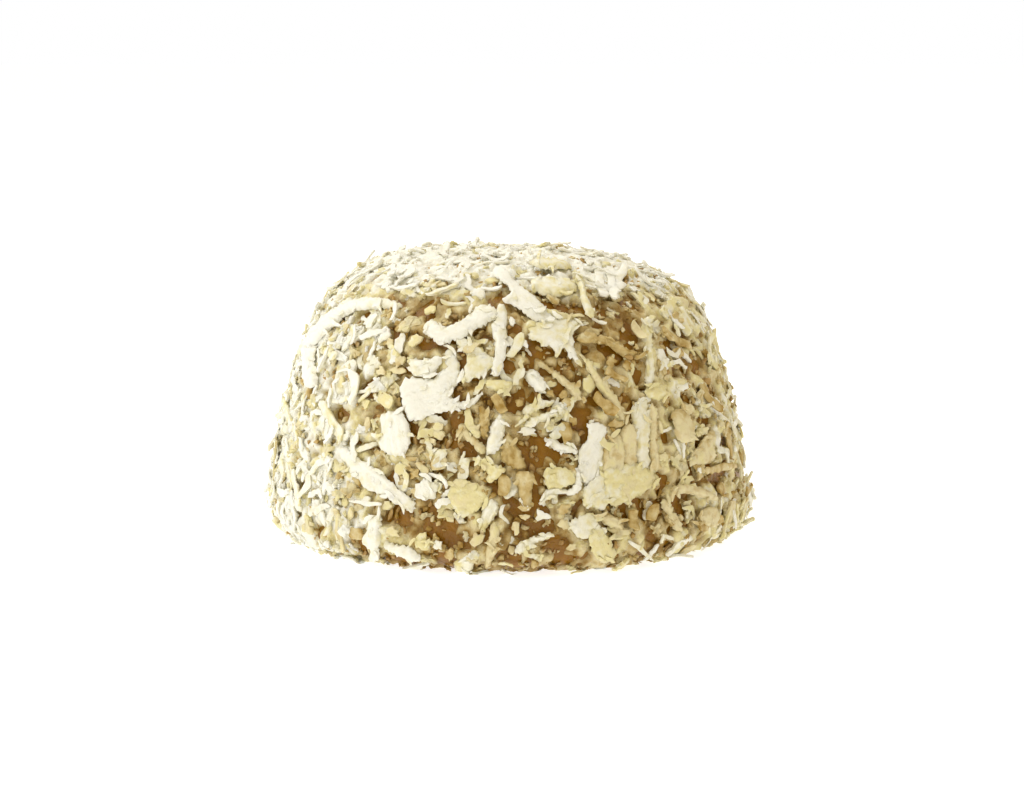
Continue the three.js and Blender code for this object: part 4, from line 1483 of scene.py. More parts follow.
    def painted_light(self, spots: Spots) -> Array:
        """Gives the painted light and shade at each place: how much paler the coconut is made on the lit
        left, top and crown, and how much darker on the shaded right, where it is also a little more soaked.
        """
        left, right, top = self.edges(spots)
        # Painted light on the lit left and top, painted shade on the shaded right.
        front = np.maximum(left * self.left_painted_light, top * self.top_painted_light) + right * (1 - top) * self.right_painted_shade_and_soak
        facing = self.facing(spots)
        sides = self.back_painted_light * (1 - facing) + front * facing
        return np.maximum(sides, self.crown(spots) * self.top_painted_light)


def turned_faces(around: int, up: int) -> Faces:
    """Gives the faces of a turned grid of points, from its lowest ring up.

    Args:
        around: How many points a ring has.
        up: How many rings there are.

    Returns:
        The faces, by vertex numbers.
    """
    faces: Faces = []
    for low in range(0, (up - 1) * around, around):
        for j in range(around):
            nxt = (j + 1) % around
            faces.append((low + j, low + nxt, low + around + nxt, low + around + j))
    return faces


def closed_faces(around: int, up: int) -> Faces:
    """Gives the faces of a turned grid that two fans close, about a crown and a foot point after its rings.

    Args:
        around: How many points a ring has.
        up: How many rings there are.

    Returns:
        The faces, by vertex numbers.
    """
    crown, foot = around * up, around * up + 1
    top = crown - around
    edges = [(j, (j + 1) % around) for j in range(around)]
    faces = turned_faces(around, up)
    faces += [(top + j, top + nxt, crown) for j, nxt in edges]
    faces += [(nxt, j, foot) for j, nxt in edges]
    return faces


@dataclass
class PalmSugarCake:
    """The cake under the coconut: a turned jelly with fine pores."""

    form: CakeForm
    coat: Coat
    around: int = 192
    up: int = 96
    pore_relief: float = 0.1
    pore_size: float = 1.6
    pore_fade: float = 2.0
    ground_around: int = 384
    ground_up: int = 192

    def build(self, material: Material) -> Object:
        """Makes the cake's closed mesh.

        Args:
            material: The jelly's finish.

        Returns:
            The object, at the origin.
        """
        side, _ = self.side(self.around, self.up)
        points = np.concatenate([side, [[0, 0, self.form.height], [0, 0, 0]]])
        mesh = plain_mesh("palm_sugar_cake", points, closed_faces(self.around, self.up))
        mesh.shade_smooth()
        mesh.materials.append(material)
        return show("palm_sugar_cake", mesh)

    def side(self, around: int, up: int) -> tuple[Array, Spots]:
        """Gives the points of the outside with its pores, from the foot's rim up, and their places.

        Args:
            around: How many points a ring has.
            up: How many rings there are.

        Returns:
            The points and their places.
        """
        angles = np.linspace(0, 2 * np.pi, around, endpoint=False)
        climbs = np.linspace(0, self.form.length, up + 1)[:-1]
        spots = self.form.grid(angles, climbs)
        pores = self.coat.unevenness(spots.point, self.pore_size)
        pores = pores * np.minimum(1, spots.climb / self.pore_fade)
        points = spots.point + spots.normal * (self.pore_relief * pores)[:, None]
        points[:, 2] = np.maximum(points[:, 2], 0)
        return points, spots

    def ground(self) -> Mesh:
        """Makes an open mesh of the outside that tells the coat's cover, room and painted light and shade."""
        points, spots = self.side(self.ground_around, self.ground_up)
        mesh = plain_mesh("ground", points, turned_faces(self.ground_around, self.ground_up))
        note(mesh, "cover", self.coat.thickness(spots))
        note(mesh, "room", self.coat.room(spots))
        # The painted light and shade that the strewn coconut's tones take: paler on the lit sides, darker on
        # the shaded right.
        note(mesh, "pale", self.coat.painted_light(spots))
        return mesh


@dataclass
class ClingingCoconut:
    """The fine coconut that clings all over: a soft blanket of torn bits with bare gaps."""

    form: CakeForm
    coat: Coat
    around: int = 480
    up: int = 200
    front_crowding: float = 0.4
    lowest_climb: float = 1.0
    side_climb: float = 27.0
    side_rows: int = 122
    bits: int = 22000
    bit_length: Pair = (0.6, 2.4)
    bit_slimness: Pair = (0.22, 0.85)
    bit_thick: Pair = (0.2, 0.6)
    bit_dome: float = 3.0
    bit_reach: float = 0.75
    bit_tilt: float = 0.25
    bit_ragged: float = 0.16
    bit_lobes: tuple[int, ...] = (2, 3, 5, 7)
    least_radius: float = 0.01
    least_cover: float = 0.06
    lift: Pair = (-0.3, 0.3)
    lift_jitter: float = 0.15
    tone: Pair = (0.06, 0.74)
    tone_jitter: float = 0.2
    grain_size: float = 0.45
    grain_relief: float = 0.07
    depth: float = 0.6
    middle_radius: float = 3.0
    seed: int = 17

    def build(self, material: Material) -> Object:
        """Makes the blanket, closed inside the cake.

        Args:
            material: The coconut's finish.

        Returns:
            The object, at the origin.
        """
        turns = np.linspace(0, 2 * np.pi, self.around, endpoint=False)
        angles = turns - self.front_crowding * np.cos(turns)
        side = np.linspace(self.lowest_climb, self.side_climb, self.side_rows + 1)[:-1]
        crown = np.linspace(self.side_climb, self.form.length, self.up - self.side_rows + 1)[:-1]
        climbs = np.concatenate([side, crown])
        spots = self.form.grid(angles, climbs)
        grid = spots.point.reshape(self.up, self.around, 3)
        height, tone = self.relief(angles, climbs, grid)
        middle = np.clip(1 - np.hypot(grid[..., 0], grid[..., 1]) / self.middle_radius, 0, 1)
        height += middle * (height.mean(1, keepdims=True) - height)
        tone += middle * (tone.mean(1, keepdims=True) - tone)
        height += self.grain_relief * self.coat.unevenness(spots.point, self.grain_size).reshape(height.shape)
        side = spots.point + spots.normal * height.reshape(-1, 1)
        crown = [0, 0, self.form.height + height[-1].mean()]
        points = np.concatenate([side, [crown, [0, 0, self.depth]]])
        tones = np.concatenate([tone.ravel(), [tone[-1].mean(), 0.0]])
        batch = MeshBatch(self.form)
        batch.add(points, closed_faces(self.around, self.up), tones)
        return batch.build("clinging_coconut", material)

    def relief(self, angles: Array, climbs: Array, points: Array) -> tuple[Array, Array]:
        """Lays the torn bits over one another on the blanket's grid.

        Args:
            angles: The grid's columns.
            climbs: The grid's rows.
            points: The bare cake's points on the grid.

        Returns:
            How far the blanket stands off the cake, and its tone, both on the grid.
        """
        rng = np.random.default_rng(self.seed)
        height = np.full(points.shape[:2], -self.depth)
        tone = np.full(points.shape[:2], self.tone[0])
        middles = self.form.spots(
            rng.uniform(0, 2 * np.pi, self.bits), self.form.climb_of_share(rng.uniform(0, 1, self.bits))
        )
        cover = self.coat.thickness(middles)
        # Painted light and shade: the bits are made paler on the lit sides and darker on the shaded right.
        pale = self.coat.painted_light(middles)
        heading = np.unwrap(angles)
        for i in np.flatnonzero(cover > self.least_cover):
            skew = rng.uniform() ** 2
            length = self.bit_length[0] + (self.bit_length[1] - self.bit_length[0]) * skew
            breadth = length * rng.uniform(*self.bit_slimness)
            reach = self.bit_reach * length
            rows = np.flatnonzero(np.abs(climbs - middles.climb[i]) < reach)
            radius = math.hypot(*middles.point[i, :2])
            apart = (heading - middles.angle[i] + np.pi) % (2 * np.pi) - np.pi
            columns = np.flatnonzero(np.abs(apart) * max(radius - reach, self.least_radius) < reach)
            block = np.ix_(rows, columns)
            away = points[block] - middles.point[i]
            turn = rng.uniform(0, np.pi)
            level, uphill = away @ middles.level[i], away @ middles.uphill[i]
            along = (level * math.cos(turn) + uphill * math.sin(turn)) / (length / 2)
            aside = (uphill * math.cos(turn) - level * math.sin(turn)) / (breadth / 2)
            out = np.hypot(along, aside)
            around = np.arctan2(aside, along)
            for lobes in self.bit_lobes:
                torn = rng.uniform(-self.bit_ragged, self.bit_ragged)
                out = out * (1 + torn * np.sin(lobes * around + rng.uniform(0, 2 * np.pi)))
            lift = self.lift[0] + (self.lift[1] - self.lift[0]) * cover[i]
            lift += rng.uniform(-self.lift_jitter, self.lift_jitter)
            thick = rng.uniform(*self.bit_thick)
            slope = rng.uniform(-self.bit_tilt, self.bit_tilt) * length / 2
            dome = 1 - np.minimum(out, 1) ** self.bit_dome
            stands = np.where(out < 1, lift + thick * dome + slope * along, -np.inf)
            # Its tone: by the cover, with the painted light and shade of its place and a chance jitter.
            mine = self.tone[0] + (self.tone[1] - self.tone[0]) * cover[i] + pale[i]
            mine += rng.uniform(-self.tone_jitter, self.tone_jitter)
            over = stands > height[block]
            height[block] = np.where(over, stands, height[block])
            tone[block] = np.where(over, mine, tone[block])
        return self.soften(height), self.soften(tone)

    def soften(self, grid: Array) -> Array:
        """Gives a grid of values with each value eased towards its neighbours'."""
        ringed = (np.roll(grid, 1, 1) + 2 * grid + np.roll(grid, -1, 1)) / 4
        padded = np.concatenate([ringed[:1], ringed, ringed[-1:]])
        return (padded[:-2] + 2 * padded[1:-1] + padded[2:]) / 4


class Strewing:
    """Geometry Nodes that strew small shapes over a ground as thickly as its room attribute says."""

    CLOSEST = 0.4  # the least spacing, as a share of the mean
    LAYERS = (0.5, 1.5)  # how the lift varies
    SMALLNESS = 1.8  # above one, small sizes are the more frequent
    LAYER_SEED = 7
    SIZE_SEED = 11
    TONE_SEED = 23
    MEASURES = (
        "Spacing", "Smallest", "Largest", "Lift", "Pile", "Tilt", "Bare", "Covered", "Darkest", "Palest",
    )
    SOCKETS = {
        "NodeSocketGeometry": ("Ground",),
        "NodeSocketCollection": ("Shapes",),
        "NodeSocketFloat": MEASURES,
        "NodeSocketInt": ("Seed",),
        "NodeSocketMaterial": ("Finish",),
    }

    def __init__(self, name: str) -> None:
        """Builds the tree and keeps its inputs' identifiers by name."""
        self.tree = bpy.data.node_groups.new(name, "GeometryNodeTree")
        self.keys: dict[str, str] = {}
        for kind, labels in self.SOCKETS.items():
            for label in labels:
                made = self.tree.interface.new_socket(label, in_out="INPUT", socket_type=kind)
                self.keys[label] = made.identifier
        self.tree.interface.new_socket("Strewn", in_out="OUTPUT", socket_type="NodeSocketGeometry")
        self._link()

    def _link(self) -> None:
        """Adds the nodes: places, turns, sizes, the shapes themselves, their tones with the ground's painted
        light and shade, and their finish.
        """
        node = partial(add_node, self.tree)
        given = node("NodeGroupInput").outputs
        cover, room, pale = (
            node("GeometryNodeInputNamedAttribute", {"Name": name}, data_type="FLOAT")
            for name in ("cover", "room", "pale")
        )
        thick = node(
            "ShaderNodeMapRange", {"Value": room, "To Min": given["Bare"], "To Max": given["Covered"]}
        )
        square = node("ShaderNodeMath", {0: given["Spacing"], 1: given["Spacing"]}, operation="MULTIPLY")
        density = node("ShaderNodeMath", {0: 1.0, 1: square}, operation="DIVIDE")
        closest = node("ShaderNodeMath", {0: given["Spacing"], 1: self.CLOSEST}, operation="MULTIPLY")
        places = node(
            "GeometryNodeDistributePointsOnFaces",
            {
                "Mesh": given["Ground"],
                "Distance Min": closest,
                "Density Max": density,
                "Density Factor": thick,
                "Seed": given["Seed"],
            },
            distribute_method="POISSON",
        )
        least, most = self.LAYERS
        layer = node(
            "FunctionNodeRandomValue", {2: least, 3: most, "Seed": self.LAYER_SEED}, data_type="FLOAT"
        )
        piled = node("ShaderNodeMath", {0: cover, 1: given["Pile"]}, operation="MULTIPLY")
        height = node(
            "ShaderNodeMath", {0: layer.outputs[1], 1: given["Lift"], 2: piled}, operation="MULTIPLY_ADD"
        )
        lift = node(
            "ShaderNodeVectorMath", {0: places.outputs["Normal"], "Scale": height}, operation="SCALE"
        )
        lifted = node("GeometryNodeSetPosition", {"Geometry": places.outputs["Points"], "Offset": lift})
        less = node("ShaderNodeMath", {0: given["Tilt"], 1: -1.0}, operation="MULTIPLY")
        low = node("ShaderNodeCombineXYZ", {"X": less, "Y": less, "Z": -math.pi})
        high = node("ShaderNodeCombineXYZ", {"X": given["Tilt"], "Y": given["Tilt"], "Z": math.pi})
        turns = node(
            "FunctionNodeRandomValue", {0: low, 1: high, "Seed": given["Seed"]}, data_type="FLOAT_VECTOR"
        )
        euler = node("FunctionNodeEulerToRotation", {0: turns})
        heading = node(
            "FunctionNodeRotateRotation",
            {"Rotation": places.outputs["Rotation"], "Rotate By": euler},
            rotation_space="LOCAL",
        )
        chance = node("FunctionNodeRandomValue", {2: 0.0, 3: 1.0, "Seed": self.SIZE_SEED}, data_type="FLOAT")
        skewed = node("ShaderNodeMath", {0: chance.outputs[1], 1: self.SMALLNESS}, operation="POWER")
        sizes = node(
            "ShaderNodeMapRange",
            {"Value": skewed, "To Min": given["Smallest"], "To Max": given["Largest"]},
        )
        shapes = node(
            "GeometryNodeCollectionInfo",
            {"Collection": given["Shapes"], "Separate Children": True, "Reset Children": True},
        )
        strewn = node(
            "GeometryNodeInstanceOnPoints",
            {
                "Points": lifted,
                "Instance": shapes,
                "Pick Instance": True,
                "Rotation": heading,
                "Scale": sizes,
            },
        )
        tones = node(
            "FunctionNodeRandomValue",
            {2: given["Darkest"], 3: given["Palest"], "Seed": self.TONE_SEED},
            data_type="FLOAT",
        )
        # Painted light and shade: each shape's tone is made paler on the lit sides and darker on the shaded
        # right by the ground's pale attribute.
        tones_with_painted_light = node("ShaderNodeMath", {0: tones.outputs[1], 1: pale}, operation="ADD")
        toned = node(
            "GeometryNodeStoreNamedAttribute",
            {"Geometry": strewn, "Name": "tone", "Value": tones_with_painted_light},
            data_type="FLOAT",
            domain="INSTANCE",
        )
        real = node("GeometryNodeRealizeInstances", {"Geometry": toned})
        dressed = node("GeometryNodeSetMaterial", {"Geometry": real, "Material": given["Finish"]})
        node("NodeGroupOutput", {0: dressed})

    def strew(self, name: str, ground: Mesh, form: CakeForm, values: dict[str, object]) -> Object:
        """Strews shapes over a ground and makes the result a plain mesh.

        Args:
            name: The new object's name.
            ground: The mesh whose faces the shapes lie on.
            form: The cake's form.
            values: The tree's inputs by name.

        Returns:
            The object, at the origin.
        """
        holder = show(f"{name}_ground", ground)
        nodes = holder.modifiers.new("strewing", "NODES")
        nodes.node_group = self.tree
        for socket, value in values.items():
            nodes[self.keys[socket]] = value
        evaluated = holder.evaluated_get(bpy.context.evaluated_depsgraph_get())
        mesh = bpy.data.meshes.new_from_object(evaluated)
        mesh.name = name
        bpy.data.objects.remove(holder)
        return finish_piece(name, mesh, values["Finish"], form)


@dataclass(frozen=True)
class Sowing:
    """How one kind of fine coconut is strewn. Lengths are in millimetres."""

    name: str
    spacing: float
    sizes: Pair
    lift: float
    pile: float
    tilt: float
    shares: Pair
    tones: Pair

    def inputs(self) -> dict[str, float]:
        """Gives the values by the names of the strewing's inputs."""
        lengths = (self.lift * MM, self.pile * MM)
        values = (self.spacing * MM, *self.sizes, *lengths, self.tilt, *self.shares, *self.tones)
        return dict(zip(Strewing.MEASURES, values))


@dataclass
class FineCoconut:
    """The splinters, tufts and crumbs that lie between the larger pieces."""

    form: CakeForm
    ground: Mesh
    splinter_kinds: int = 20
    tuft_kinds: int = 30
    crumb_kinds: int = 10
    seed: int = 5
    splinters: Sowing = Sowing(
        "coconut_splinters", 1.5, (0.5, 1.1), 0.3, 0.65, tilt=0.1, shares=(0.0, 1.0), tones=(0.55, 1.05)
    )
    tufts: Sowing = Sowing(
        "coconut_bits", 1.08, (0.5, 1.7), 0.2, 0.55, tilt=0.2, shares=(0.06, 1.0), tones=(0.1, 0.86)
    )
    crumbs: Sowing = Sowing(
        "coconut_crumbs", 0.68, (0.4, 1.1), 0.12, 0.3, tilt=0.6, shares=(0.6, 0.5), tones=(0.0, 0.9)
    )

    def build(self, coconut: Material, soaked: Material) -> list[Object]:
        """Strews the splinters, the tufts and the crumbs.

        Args:
            coconut: The finish of the splinters and tufts.
            soaked: The finish of the soaked crumbs.

        Returns:
            The objects.
        """
        strewing = Strewing("fine_coconut")
        rng = np.random.default_rng(self.seed)
        kinds = (
            (self.splinters, [strip_shape(rng, SPLINTER) for _ in range(self.splinter_kinds)], coconut),
            (self.tufts, [tuft_shape(rng) for _ in range(self.tuft_kinds)], coconut),
            (self.crumbs, [crumb_shape(rng) for _ in range(self.crumb_kinds)], soaked),
        )
        pieces = []
        for seed, (sowing, drawn, finish) in enumerate(kinds, 1):
            shapes = shape_collection(f"{sowing.name}_shapes", drawn)
            values = {**sowing.inputs(), "Shapes": shapes, "Seed": seed, "Finish": finish}
            pieces.append(strewing.strew(sowing.name, self.ground, self.form, values))
            for shape in list(shapes.objects):
                bpy.data.meshes.remove(shape.data)
            bpy.data.collections.remove(shapes)
        bpy.data.meshes.remove(self.ground)
        return pieces


@dataclass(frozen=True)
class CrumbForm:
    """A crumb about one unit across, and how far one may differ from another."""

    sectors: int = 6
    rings: tuple[float, ...] = (1.0,)
    corners: Pair = (-0.45, 0.4)
    ragged: float = 0.26
    warp: float = 2.0
    slimness: Pair = (0.4, 0.95)
    thick: Pair = (0.3, 0.5)


def crumb_shape(rng: Generator, form: CrumbForm = CrumbForm()) -> Shape:
    """Makes a crumb: a small torn and warped slice.

    Args:
        rng: The seeded draws.
        form: How it may vary.

    Returns:
        The shape.
    """
    corners = 1 + rng.uniform(*form.corners, form.sectors)
    points, faces, rim = torn_slice(rng, form.sectors, form.rings, corners, form.ragged)
    bend, skew = rng.uniform(-form.warp, form.warp, 2)
    points[:, 2] += bend * points[:, 0] ** 2 + skew * points[:, 0] * points[:, 1]
    return points * np.array([1.0, rng.uniform(*form.slimness), rng.uniform(*form.thick)]), faces, rim


@dataclass(frozen=True)
class StripForm:
    """A short torn strip: its measures in millimetres, and how uneven it is as shares of them."""

    rings: int
    length: Pair
    width: Pair
    thick: Pair = (0.16, 0.3)
    around: int = 4
    head_taper: Pair = (0.1, 0.7)
    tail_taper: Pair = (0.0, 0.5)
    torn: float = 0.35
    lumps: float = 0.2
    curls: Pair = (1.0, 2.0)
    bow: float = 0.13
    waver: float = 0.07
    arch: Pair = (-0.08, 0.12)
    tip: float = 0.16
    edge: float = 0.3


SPLINTER = StripForm(rings=9, length=(1.6, 4.0), width=(0.5, 1.0))
TUFT_STRIP = StripForm(rings=4, length=(0.6, 1.3), width=(0.3, 0.5))


def strip_shape(rng: Generator, form: StripForm) -> Shape:
    """Makes a short torn strip that curls a little.

    Args:
        rng: The seeded draws.
        form: Its measures and how they vary.

    Returns:
        The shape.
    """
    length, width, thick = (rng.uniform(*span) for span in (form.length, form.width, form.thick))
    share = np.linspace(0, 1, form.rings)
    angle = (np.arange(form.around) + 0.5) * 2 * np.pi / form.around
    slim = 1 - rng.uniform(*form.head_taper) * share**3 - rng.uniform(*form.tail_taper) * (1 - share) ** 3
    torn = 1 + np.repeat(rng.uniform(-form.torn, form.torn, (form.rings, form.around // 2)), 2, 1)
    aside = np.sign(np.cos(angle)) * np.roll(torn, 1, 1) * slim[:, None] * width / 2
    lumps = rng.uniform(-form.lumps, form.lumps, (form.rings, form.around))
    above = np.sign(np.sin(angle)) * thick / 2 * (1 + lumps)
    curl = np.sin(share * np.pi * rng.uniform(*form.curls) + rng.uniform(0, np.pi))
    bow = rng.uniform(-form.bow, form.bow) * length * curl
    bow = bow + rng.uniform(-form.waver, form.waver, form.rings) * width
    arch = rng.uniform(*form.arch) * length * (2 * share - 1) ** 2
    arch = arch + rng.uniform(-form.waver, form.waver, form.rings) * width
    along = np.repeat(((share - 0.5) * length)[:, None], form.around, 1)
    rows = np.stack([along, aside + bow[:, None], above + arch[:, None]], -1)
    tips = rows[[0, -1]].mean(1) + np.array([[-form.tip, 0, 0], [form.tip, 0, 0]]) * width
    rim = np.concatenate([np.full(form.rings * form.around, form.edge), [1.0, 1.0]])
    return np.concatenate([rows.reshape(-1, 3), tips]), tube_faces(form.rings, form.around), rim


def tuft_shape(rng: Generator, strips: int = 3, slope: float = 0.35, shift: float = 0.2) -> Shape:
    """Makes a tuft about a millimetre across: a few short torn strips that cross.

    Args:
        rng: The seeded draws.
        strips: How many strips it has.
        slope: How steeply a strip may rise or fall.
        shift: How far aside a strip may lie.

    Returns:
        The shape.
    """
    points, faces, rims = [], [], []
    for k in range(strips):
        strip, sides, rim = strip_shape(rng, TUFT_STRIP)
        turn = rng.uniform(0, 2 * np.pi)
        rise = rng.uniform(-slope, slope)
        ahead = np.array([math.cos(turn) * math.cos(rise), math.sin(turn) * math.cos(rise), math.sin(rise)])
        beside = np.array([-math.sin(turn), math.cos(turn), 0.0])
        aside = np.array([*rng.uniform(-shift, shift, 2), 0.0])
        points.append(strip @ np.stack([ahead, beside, np.cross(ahead, beside)]) + aside)
        faces += [tuple(corner + k * len(strip) for corner in face) for face in sides]
        rims.append(rim)
    return np.concatenate(points), faces, np.concatenate(rims)


def shape_collection(name: str, shapes: list[Shape]) -> Collection:
    """Gathers shapes for strewing.

    Args:
        name: The collection's name.
        shapes: The shapes, in millimetres.

    Returns:
        The collection, in the scene.
    """
    collection = bpy.data.collections.new(name)
    bpy.context.scene.collection.children.link(collection)
    for i, (points, faces, rim) in enumerate(shapes):
        mesh = closed_mesh(f"{name}_{i}", points, faces)
        note(mesh, "rim", rim)
        collection.objects.link(bpy.data.objects.new(mesh.name, mesh))
    return collection


@dataclass(frozen=True)
class MoistFinish:
    """A moist food's finish: half glossy, with light that spreads a little way under the surface."""

    name: str
    roughness: float
    ior: float
    subsurface: float
    scatter: float
    scatter_shares: Triple

    def make(self) -> Material:
        """Makes the material: one Principled shader with the finish's own colours and bump."""
        material, tree, shader = principled(self.name)
        colour, bump = self.surface(partial(add_node, tree))
        inputs = {
            "Base Color": colour,
            "Normal": bump,
            "Roughness": self.roughness,
            "IOR": self.ior,
            "Subsurface Weight": self.subsurface,
            "Subsurface Radius": self.scatter_shares,
            "Subsurface Scale": self.scatter * MM,
        }
        feed(tree, shader, inputs)
        return material

    def surface(self, node: Callable[..., Node]) -> tuple[NodeSocket, Node]:
        """Adds the nodes of the finish's colours and bump.

        Args:
            node: Adds a node to the material's tree.

        Returns:
            The colours' socket and the bump.
        """
        raise NotImplementedError


@dataclass(frozen=True)
class PalmSugarJelly(MoistFinish):
    """Steamed palm sugar batter: a moist, half clear amber jelly, browner where it is thick and in shade."""

    name: str = "palm_sugar_jelly"
    roughness: float = 0.34
    ior: float = 1.42
    subsurface: float = 0.35
    scatter: float = 2.5
    scatter_shares: Triple = (1.0, 0.5, 0.15)
    dark: str = "#704a06"
    light: str = "#a0700c"
    mottle: float = 1.2
    mottle_detail: float = 4.0
    pores: float = 0.5
    pore_detail: float = 3.0
    pitting: float = 0.6
    pit_depth: float = 0.3

    def surface(self, node: Callable[..., Node]) -> tuple[NodeSocket, Node]:
        """Adds the nodes of a mottled amber with small pits.

        Args:
            node: Adds a node to the material's tree.

        Returns:
            The colours' socket and the bump.
        """
        place = node("ShaderNodeTexCoord").outputs["Object"]
        mottled, pitted = (
            node("ShaderNodeTexNoise", {"Vector": place, "Scale": 1 / (size * MM), "Detail": detail})
            for size, detail in ((self.mottle, self.mottle_detail), (self.pores, self.pore_detail))
        )
        mixed = node(
            "ShaderNodeMix",
            {"Factor": mottled, "A": linear(self.dark), "B": linear(self.light)},
            data_type="RGBA",
        )
        bump = node(
            "ShaderNodeBump",
            {"Height": pitted, "Strength": self.pitting, "Distance": self.pit_depth * MM},
        )
        return mixed.outputs["Result"], bump


@dataclass(frozen=True)
class CoconutFlesh(MoistFinish):
    """Fresh grated coconut: white and slightly clear, cream to tan where palm sugar soaks into it."""

    roughness: float = 0.55
    ior: float = 1.4
    subsurface: float = 0.3
    scatter: float = 0.4
    scatter_shares: Triple = (1.0, 0.95, 0.85)
    soaked: str = "#a08038"
    beige: str = "#c4ae74"
    cream: str = "#ddd2a8"
    yellow: str = "#dfd59c"
    ivory: str = "#e7e3c9"
    white: str = "#eeede0"
    # Darkening by nearness to the cake: partly the palm sugar soaking in, partly painted shade in the low
    # gaps between pieces.
    stain_and_shade: str = "#b3974f"
    stain_and_shade_low: float = 0.0
    stain_and_shade_high: float = 0.5
    stain_and_shade_most: float = 0.65
    blotch: float = 0.9
    blotch_detail: float = 3.0
    blotch_range: Pair = (0.3, 0.7)
    mottle: float = 0.16
    fibre: float = 0.28  # coarser than the flesh's own fibres, which are too fine to show
    fibre_detail: float = 4.0
    fibre_depth: float = 0.2
    relief: float = 0.45
    rim_drop: float = 0.06

    def surface(self, node: Callable[..., Node]) -> tuple[NodeSocket, Node]:
        """Adds the nodes of a colour by the piece's tone, darkened close to the cake both as the palm sugar
        soaks in and as painted shade in the low places between pieces, and of its fibres.

        Args:
            node: Adds a node to the material's tree.

        Returns:
            The colours' socket and the bump.
        """
        tone, rim, rise = (
            node("ShaderNodeAttribute", attribute_name=name).outputs["Fac"]
            for name in ("tone", "rim", "rise")
        )
        place = node("ShaderNodeTexCoord").outputs["Object"]
        blotch, fibres = (
            node("ShaderNodeTexNoise", {"Vector": place, "Scale": 1 / (size * MM), "Detail": detail})
            for size, detail in ((self.blotch, self.blotch_detail), (self.fibre, self.fibre_detail))
        )
        uneven = node(
            "ShaderNodeMapRange",
            {
                "Value": blotch,
                "From Min": self.blotch_range[0],
                "From Max": self.blotch_range[1],
                "To Min": -self.mottle,
                "To Max": self.mottle,
            },
        )
        mottled = node("ShaderNodeMath", {0: tone, 1: uneven}, operation="ADD")
        thin = node("ShaderNodeMath", {0: rim, 1: -self.rim_drop, 2: mottled}, operation="MULTIPLY_ADD")
        ramp = node("ShaderNodeValToRGB", {"Fac": thin})
        self._set_ramp(ramp.color_ramp)
        # Painted shade and soaking: the lower a surface lies near the cake, the darker it is made, as shade
        # falls into the gaps between pieces and as palm sugar soaks in.
        soak_and_shade = node(
            "ShaderNodeMapRange",
            {
                "Value": rise,
                "From Min": self.stain_and_shade_low,
                "From Max": self.stain_and_shade_high,
                "To Min": self.stain_and_shade_most,
                "To Max": 0.0,
            },
        )
        stained_and_shaded = node(
            "ShaderNodeMix",
            {"Factor": soak_and_shade, "A": ramp, "B": linear(self.stain_and_shade)},
            data_type="RGBA",
            blend_type="MULTIPLY",
        )
        bump = node(
            "ShaderNodeBump",
            {"Height": fibres, "Strength": self.relief, "Distance": self.fibre_depth * MM},
        )
        return stained_and_shaded.outputs["Result"], bump

    def _set_ramp(self, ramp: ColorRamp) -> None:
        """Sets the run of colours from soaked to white."""
        stops = {
            Tone.SOAKED: self.soaked,
            Tone.BEIGE: self.beige,
            Tone.CREAM: self.cream,
            Tone.YELLOW: self.yellow,
            Tone.IVORY: self.ivory,
            Tone.WHITE: self.white,
        }
        while len(ramp.elements) < len(stops):
            ramp.elements.new(0.5)
        for element, (tone, colour) in zip(ramp.elements, stops.items()):
            element.position = tone.value
            element.color = linear(colour)


def principled(name: str) -> tuple[Material, NodeTree, Node]:
    """Makes a material with one Principled shader.

    Args:
        name: The material's name.

    Returns:
        The material, its node tree and the shader.
    """
    material = bpy.data.materials.new(name)
    material.use_nodes = True
    tree = material.node_tree
    return material, tree, tree.nodes["Principled BSDF"]


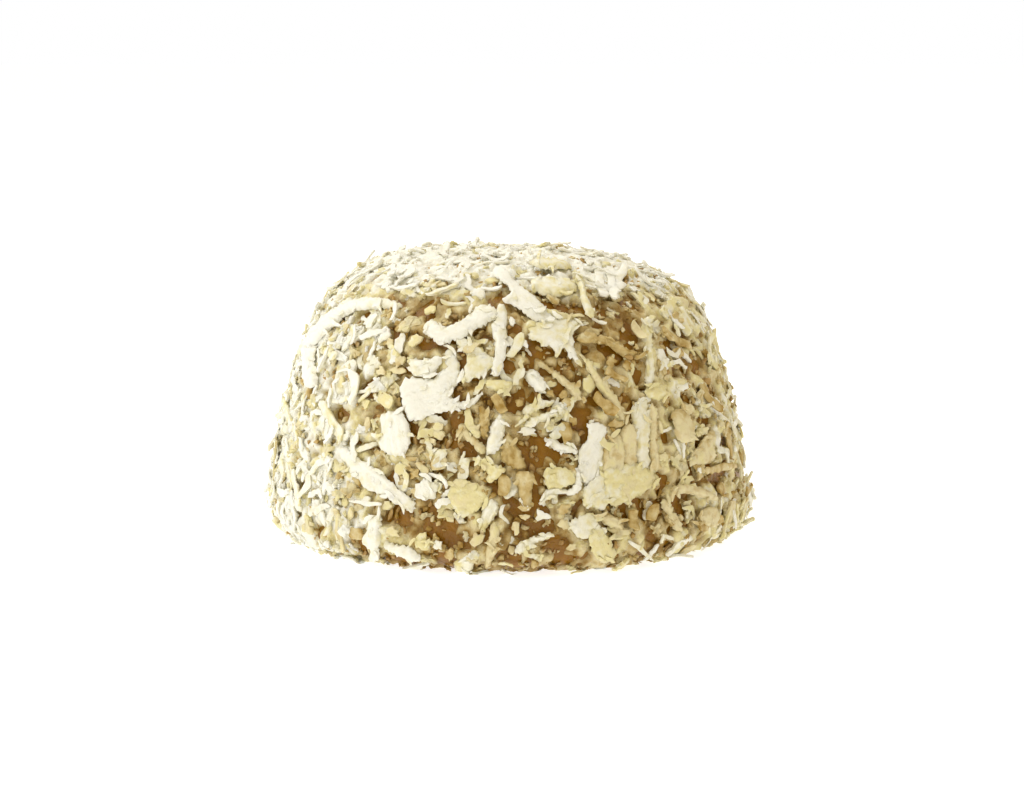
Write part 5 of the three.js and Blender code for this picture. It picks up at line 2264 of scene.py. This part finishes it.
@dataclass
class Studio:
    """A pale floor, soft lamps from the left and overhead, a warm even fill, and the camera of the sketch."""

    sketch: Sketch
    floor_radius: float = 3000.0
    floor_colour: str = "#cbcbcb"
    white: str = "#ffffff"
    floor_roughness: float = 0.9
    floor_glow: float = 0.8
    near_clip: float = 10.0
    sensor: float = 36.0
    key_from: Triple = (-0.8, -0.1, 0.8)
    key_power: float = 1.85
    overhead_from: Triple = (-0.1, 0.25, 1.0)
    overhead_power: float = 1.6
    lamp_distance: float = 420.0
    lamp_size: float = 760.0
    key_colour: str = "#f4f8ff"
    fill_colour: str = "#ffecc8"
    fill_strength: float = 0.54

    def build(self) -> None:
        """Sets up the camera, the light and the floor."""
        self.camera()
        self.light()
        self.floor()

    def camera(self) -> None:
        """Stands the camera where the sketch's eye is, framed as the sketch is."""
        sketch = self.sketch
        lens = bpy.data.cameras.new("camera")
        lens.sensor_width = self.sensor
        lens.lens = sketch.scale * sketch.eye_distance * self.sensor / FRAME_WIDTH
        lens.shift_x = (FRAME_WIDTH / 2 - sketch.centre[0]) / FRAME_WIDTH
        lens.shift_y = (sketch.centre[1] - FRAME_HEIGHT / 2) / FRAME_WIDTH
        lens.clip_start = self.near_clip * MM
        camera = show("camera", lens)
        camera.location = Vector(sketch.eye * MM)
        camera.rotation_euler = Vector(-sketch.back).to_track_quat("-Z", "Y").to_euler()
        bpy.context.scene.camera = camera

    def lamp(self, name: str, towards: Triple, power: float, colour: str) -> None:
        """Hangs a large soft lamp that faces the cake.

        Args:
            name: The lamp's name.
            towards: Its direction from the cake.
            power: Its power in watts.
            colour: Its colour.
        """
        light = bpy.data.lights.new(name, "AREA")
        light.energy = power
        light.size = self.lamp_size * MM
        light.color = linear(colour)[:3]
        lamp = show(name, light)
        way = Vector(towards).normalized()
        lamp.location = Vector(self.sketch.aim) * MM + way * self.lamp_distance * MM
        lamp.rotation_euler = (-way).to_track_quat("-Z", "Y").to_euler()

    def light(self) -> None:
        """Hangs the lamps and fills the world."""
        self.lamp("key", self.key_from, self.key_power, self.key_colour)
        self.lamp("overhead", self.overhead_from, self.overhead_power, self.key_colour)
        world = bpy.data.worlds.new("fill")
        bpy.context.scene.world = world
        world.use_nodes = True
        tree = world.node_tree
        seen = add_node(tree, "ShaderNodeLightPath").outputs["Is Camera Ray"]
        fill = tree.nodes["Background"]
        feed(tree, fill, {"Color": linear(self.fill_colour), "Strength": self.fill_strength})
        white = add_node(tree, "ShaderNodeBackground", {"Color": linear(self.white), "Strength": 1.0})
        mixed = add_node(tree, "ShaderNodeMixShader", {0: seen, 1: fill, 2: white})
        feed(tree, tree.nodes["World Output"], {"Surface": mixed})
        bpy.context.scene.view_settings.view_transform = "Standard"

    def floor(self) -> None:
        """Lays the floor under the cake."""
        corners = self.floor_radius * np.array([(-1, -1, 0), (1, -1, 0), (1, 1, 0), (-1, 1, 0)])
        mesh = plain_mesh("floor", corners, [(0, 1, 2, 3)])
        # Matt white paper: an even white without gloss that glows a little, as in bright daylight.
        material, tree, shader = principled("white_paper")
        inputs = {
            "Base Color": linear(self.floor_colour),
            "Roughness": self.floor_roughness,
            "Emission Color": linear(self.white),
            "Emission Strength": self.floor_glow,
        }
        feed(tree, shader, inputs)
        mesh.materials.append(material)
        show("floor", mesh)


def place(piece: Object) -> None:
    """Lets a piece ride on the cake's body, and reports it."""
    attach(piece, BODY)
    piece.data.calc_loop_triangles()
    log.info("%s: %d triangles", piece.name, len(piece.data.loop_triangles))


def main() -> None:
    """Builds the cake, its coconut and the studio."""
    logging.basicConfig(level=logging.INFO, format="%(name)s %(message)s")
    form = CakeForm()
    sketch = Sketch(form)
    Studio(sketch).build()
    flesh = CoconutFlesh("grated_coconut").make()
    meal = CoconutFlesh("soaked_coconut_meal", white="#c2a568", ivory="#b4945a", yellow="#a5844a").make()
    coat = Coat(sketch)
    jelly = PalmSugarCake(form, coat)
    cake = jelly.build(PalmSugarJelly().make())
    soft = CoconutFlesh("clinging_coconut", subsurface=0.6, scatter=0.3, stain_and_shade_high=0.6, relief=0.9)
    pieces = [ClingingCoconut(form, coat).build(soft.make())]
    pieces += FineCoconut(form, jelly.ground()).build(flesh, meal)
    pieces += GratedCoconut(form, sketch, coat).build(flesh)
    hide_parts(NODE)
    for piece in [cake, *pieces]:
        place(piece)


if __name__ == "__main__":
    main()
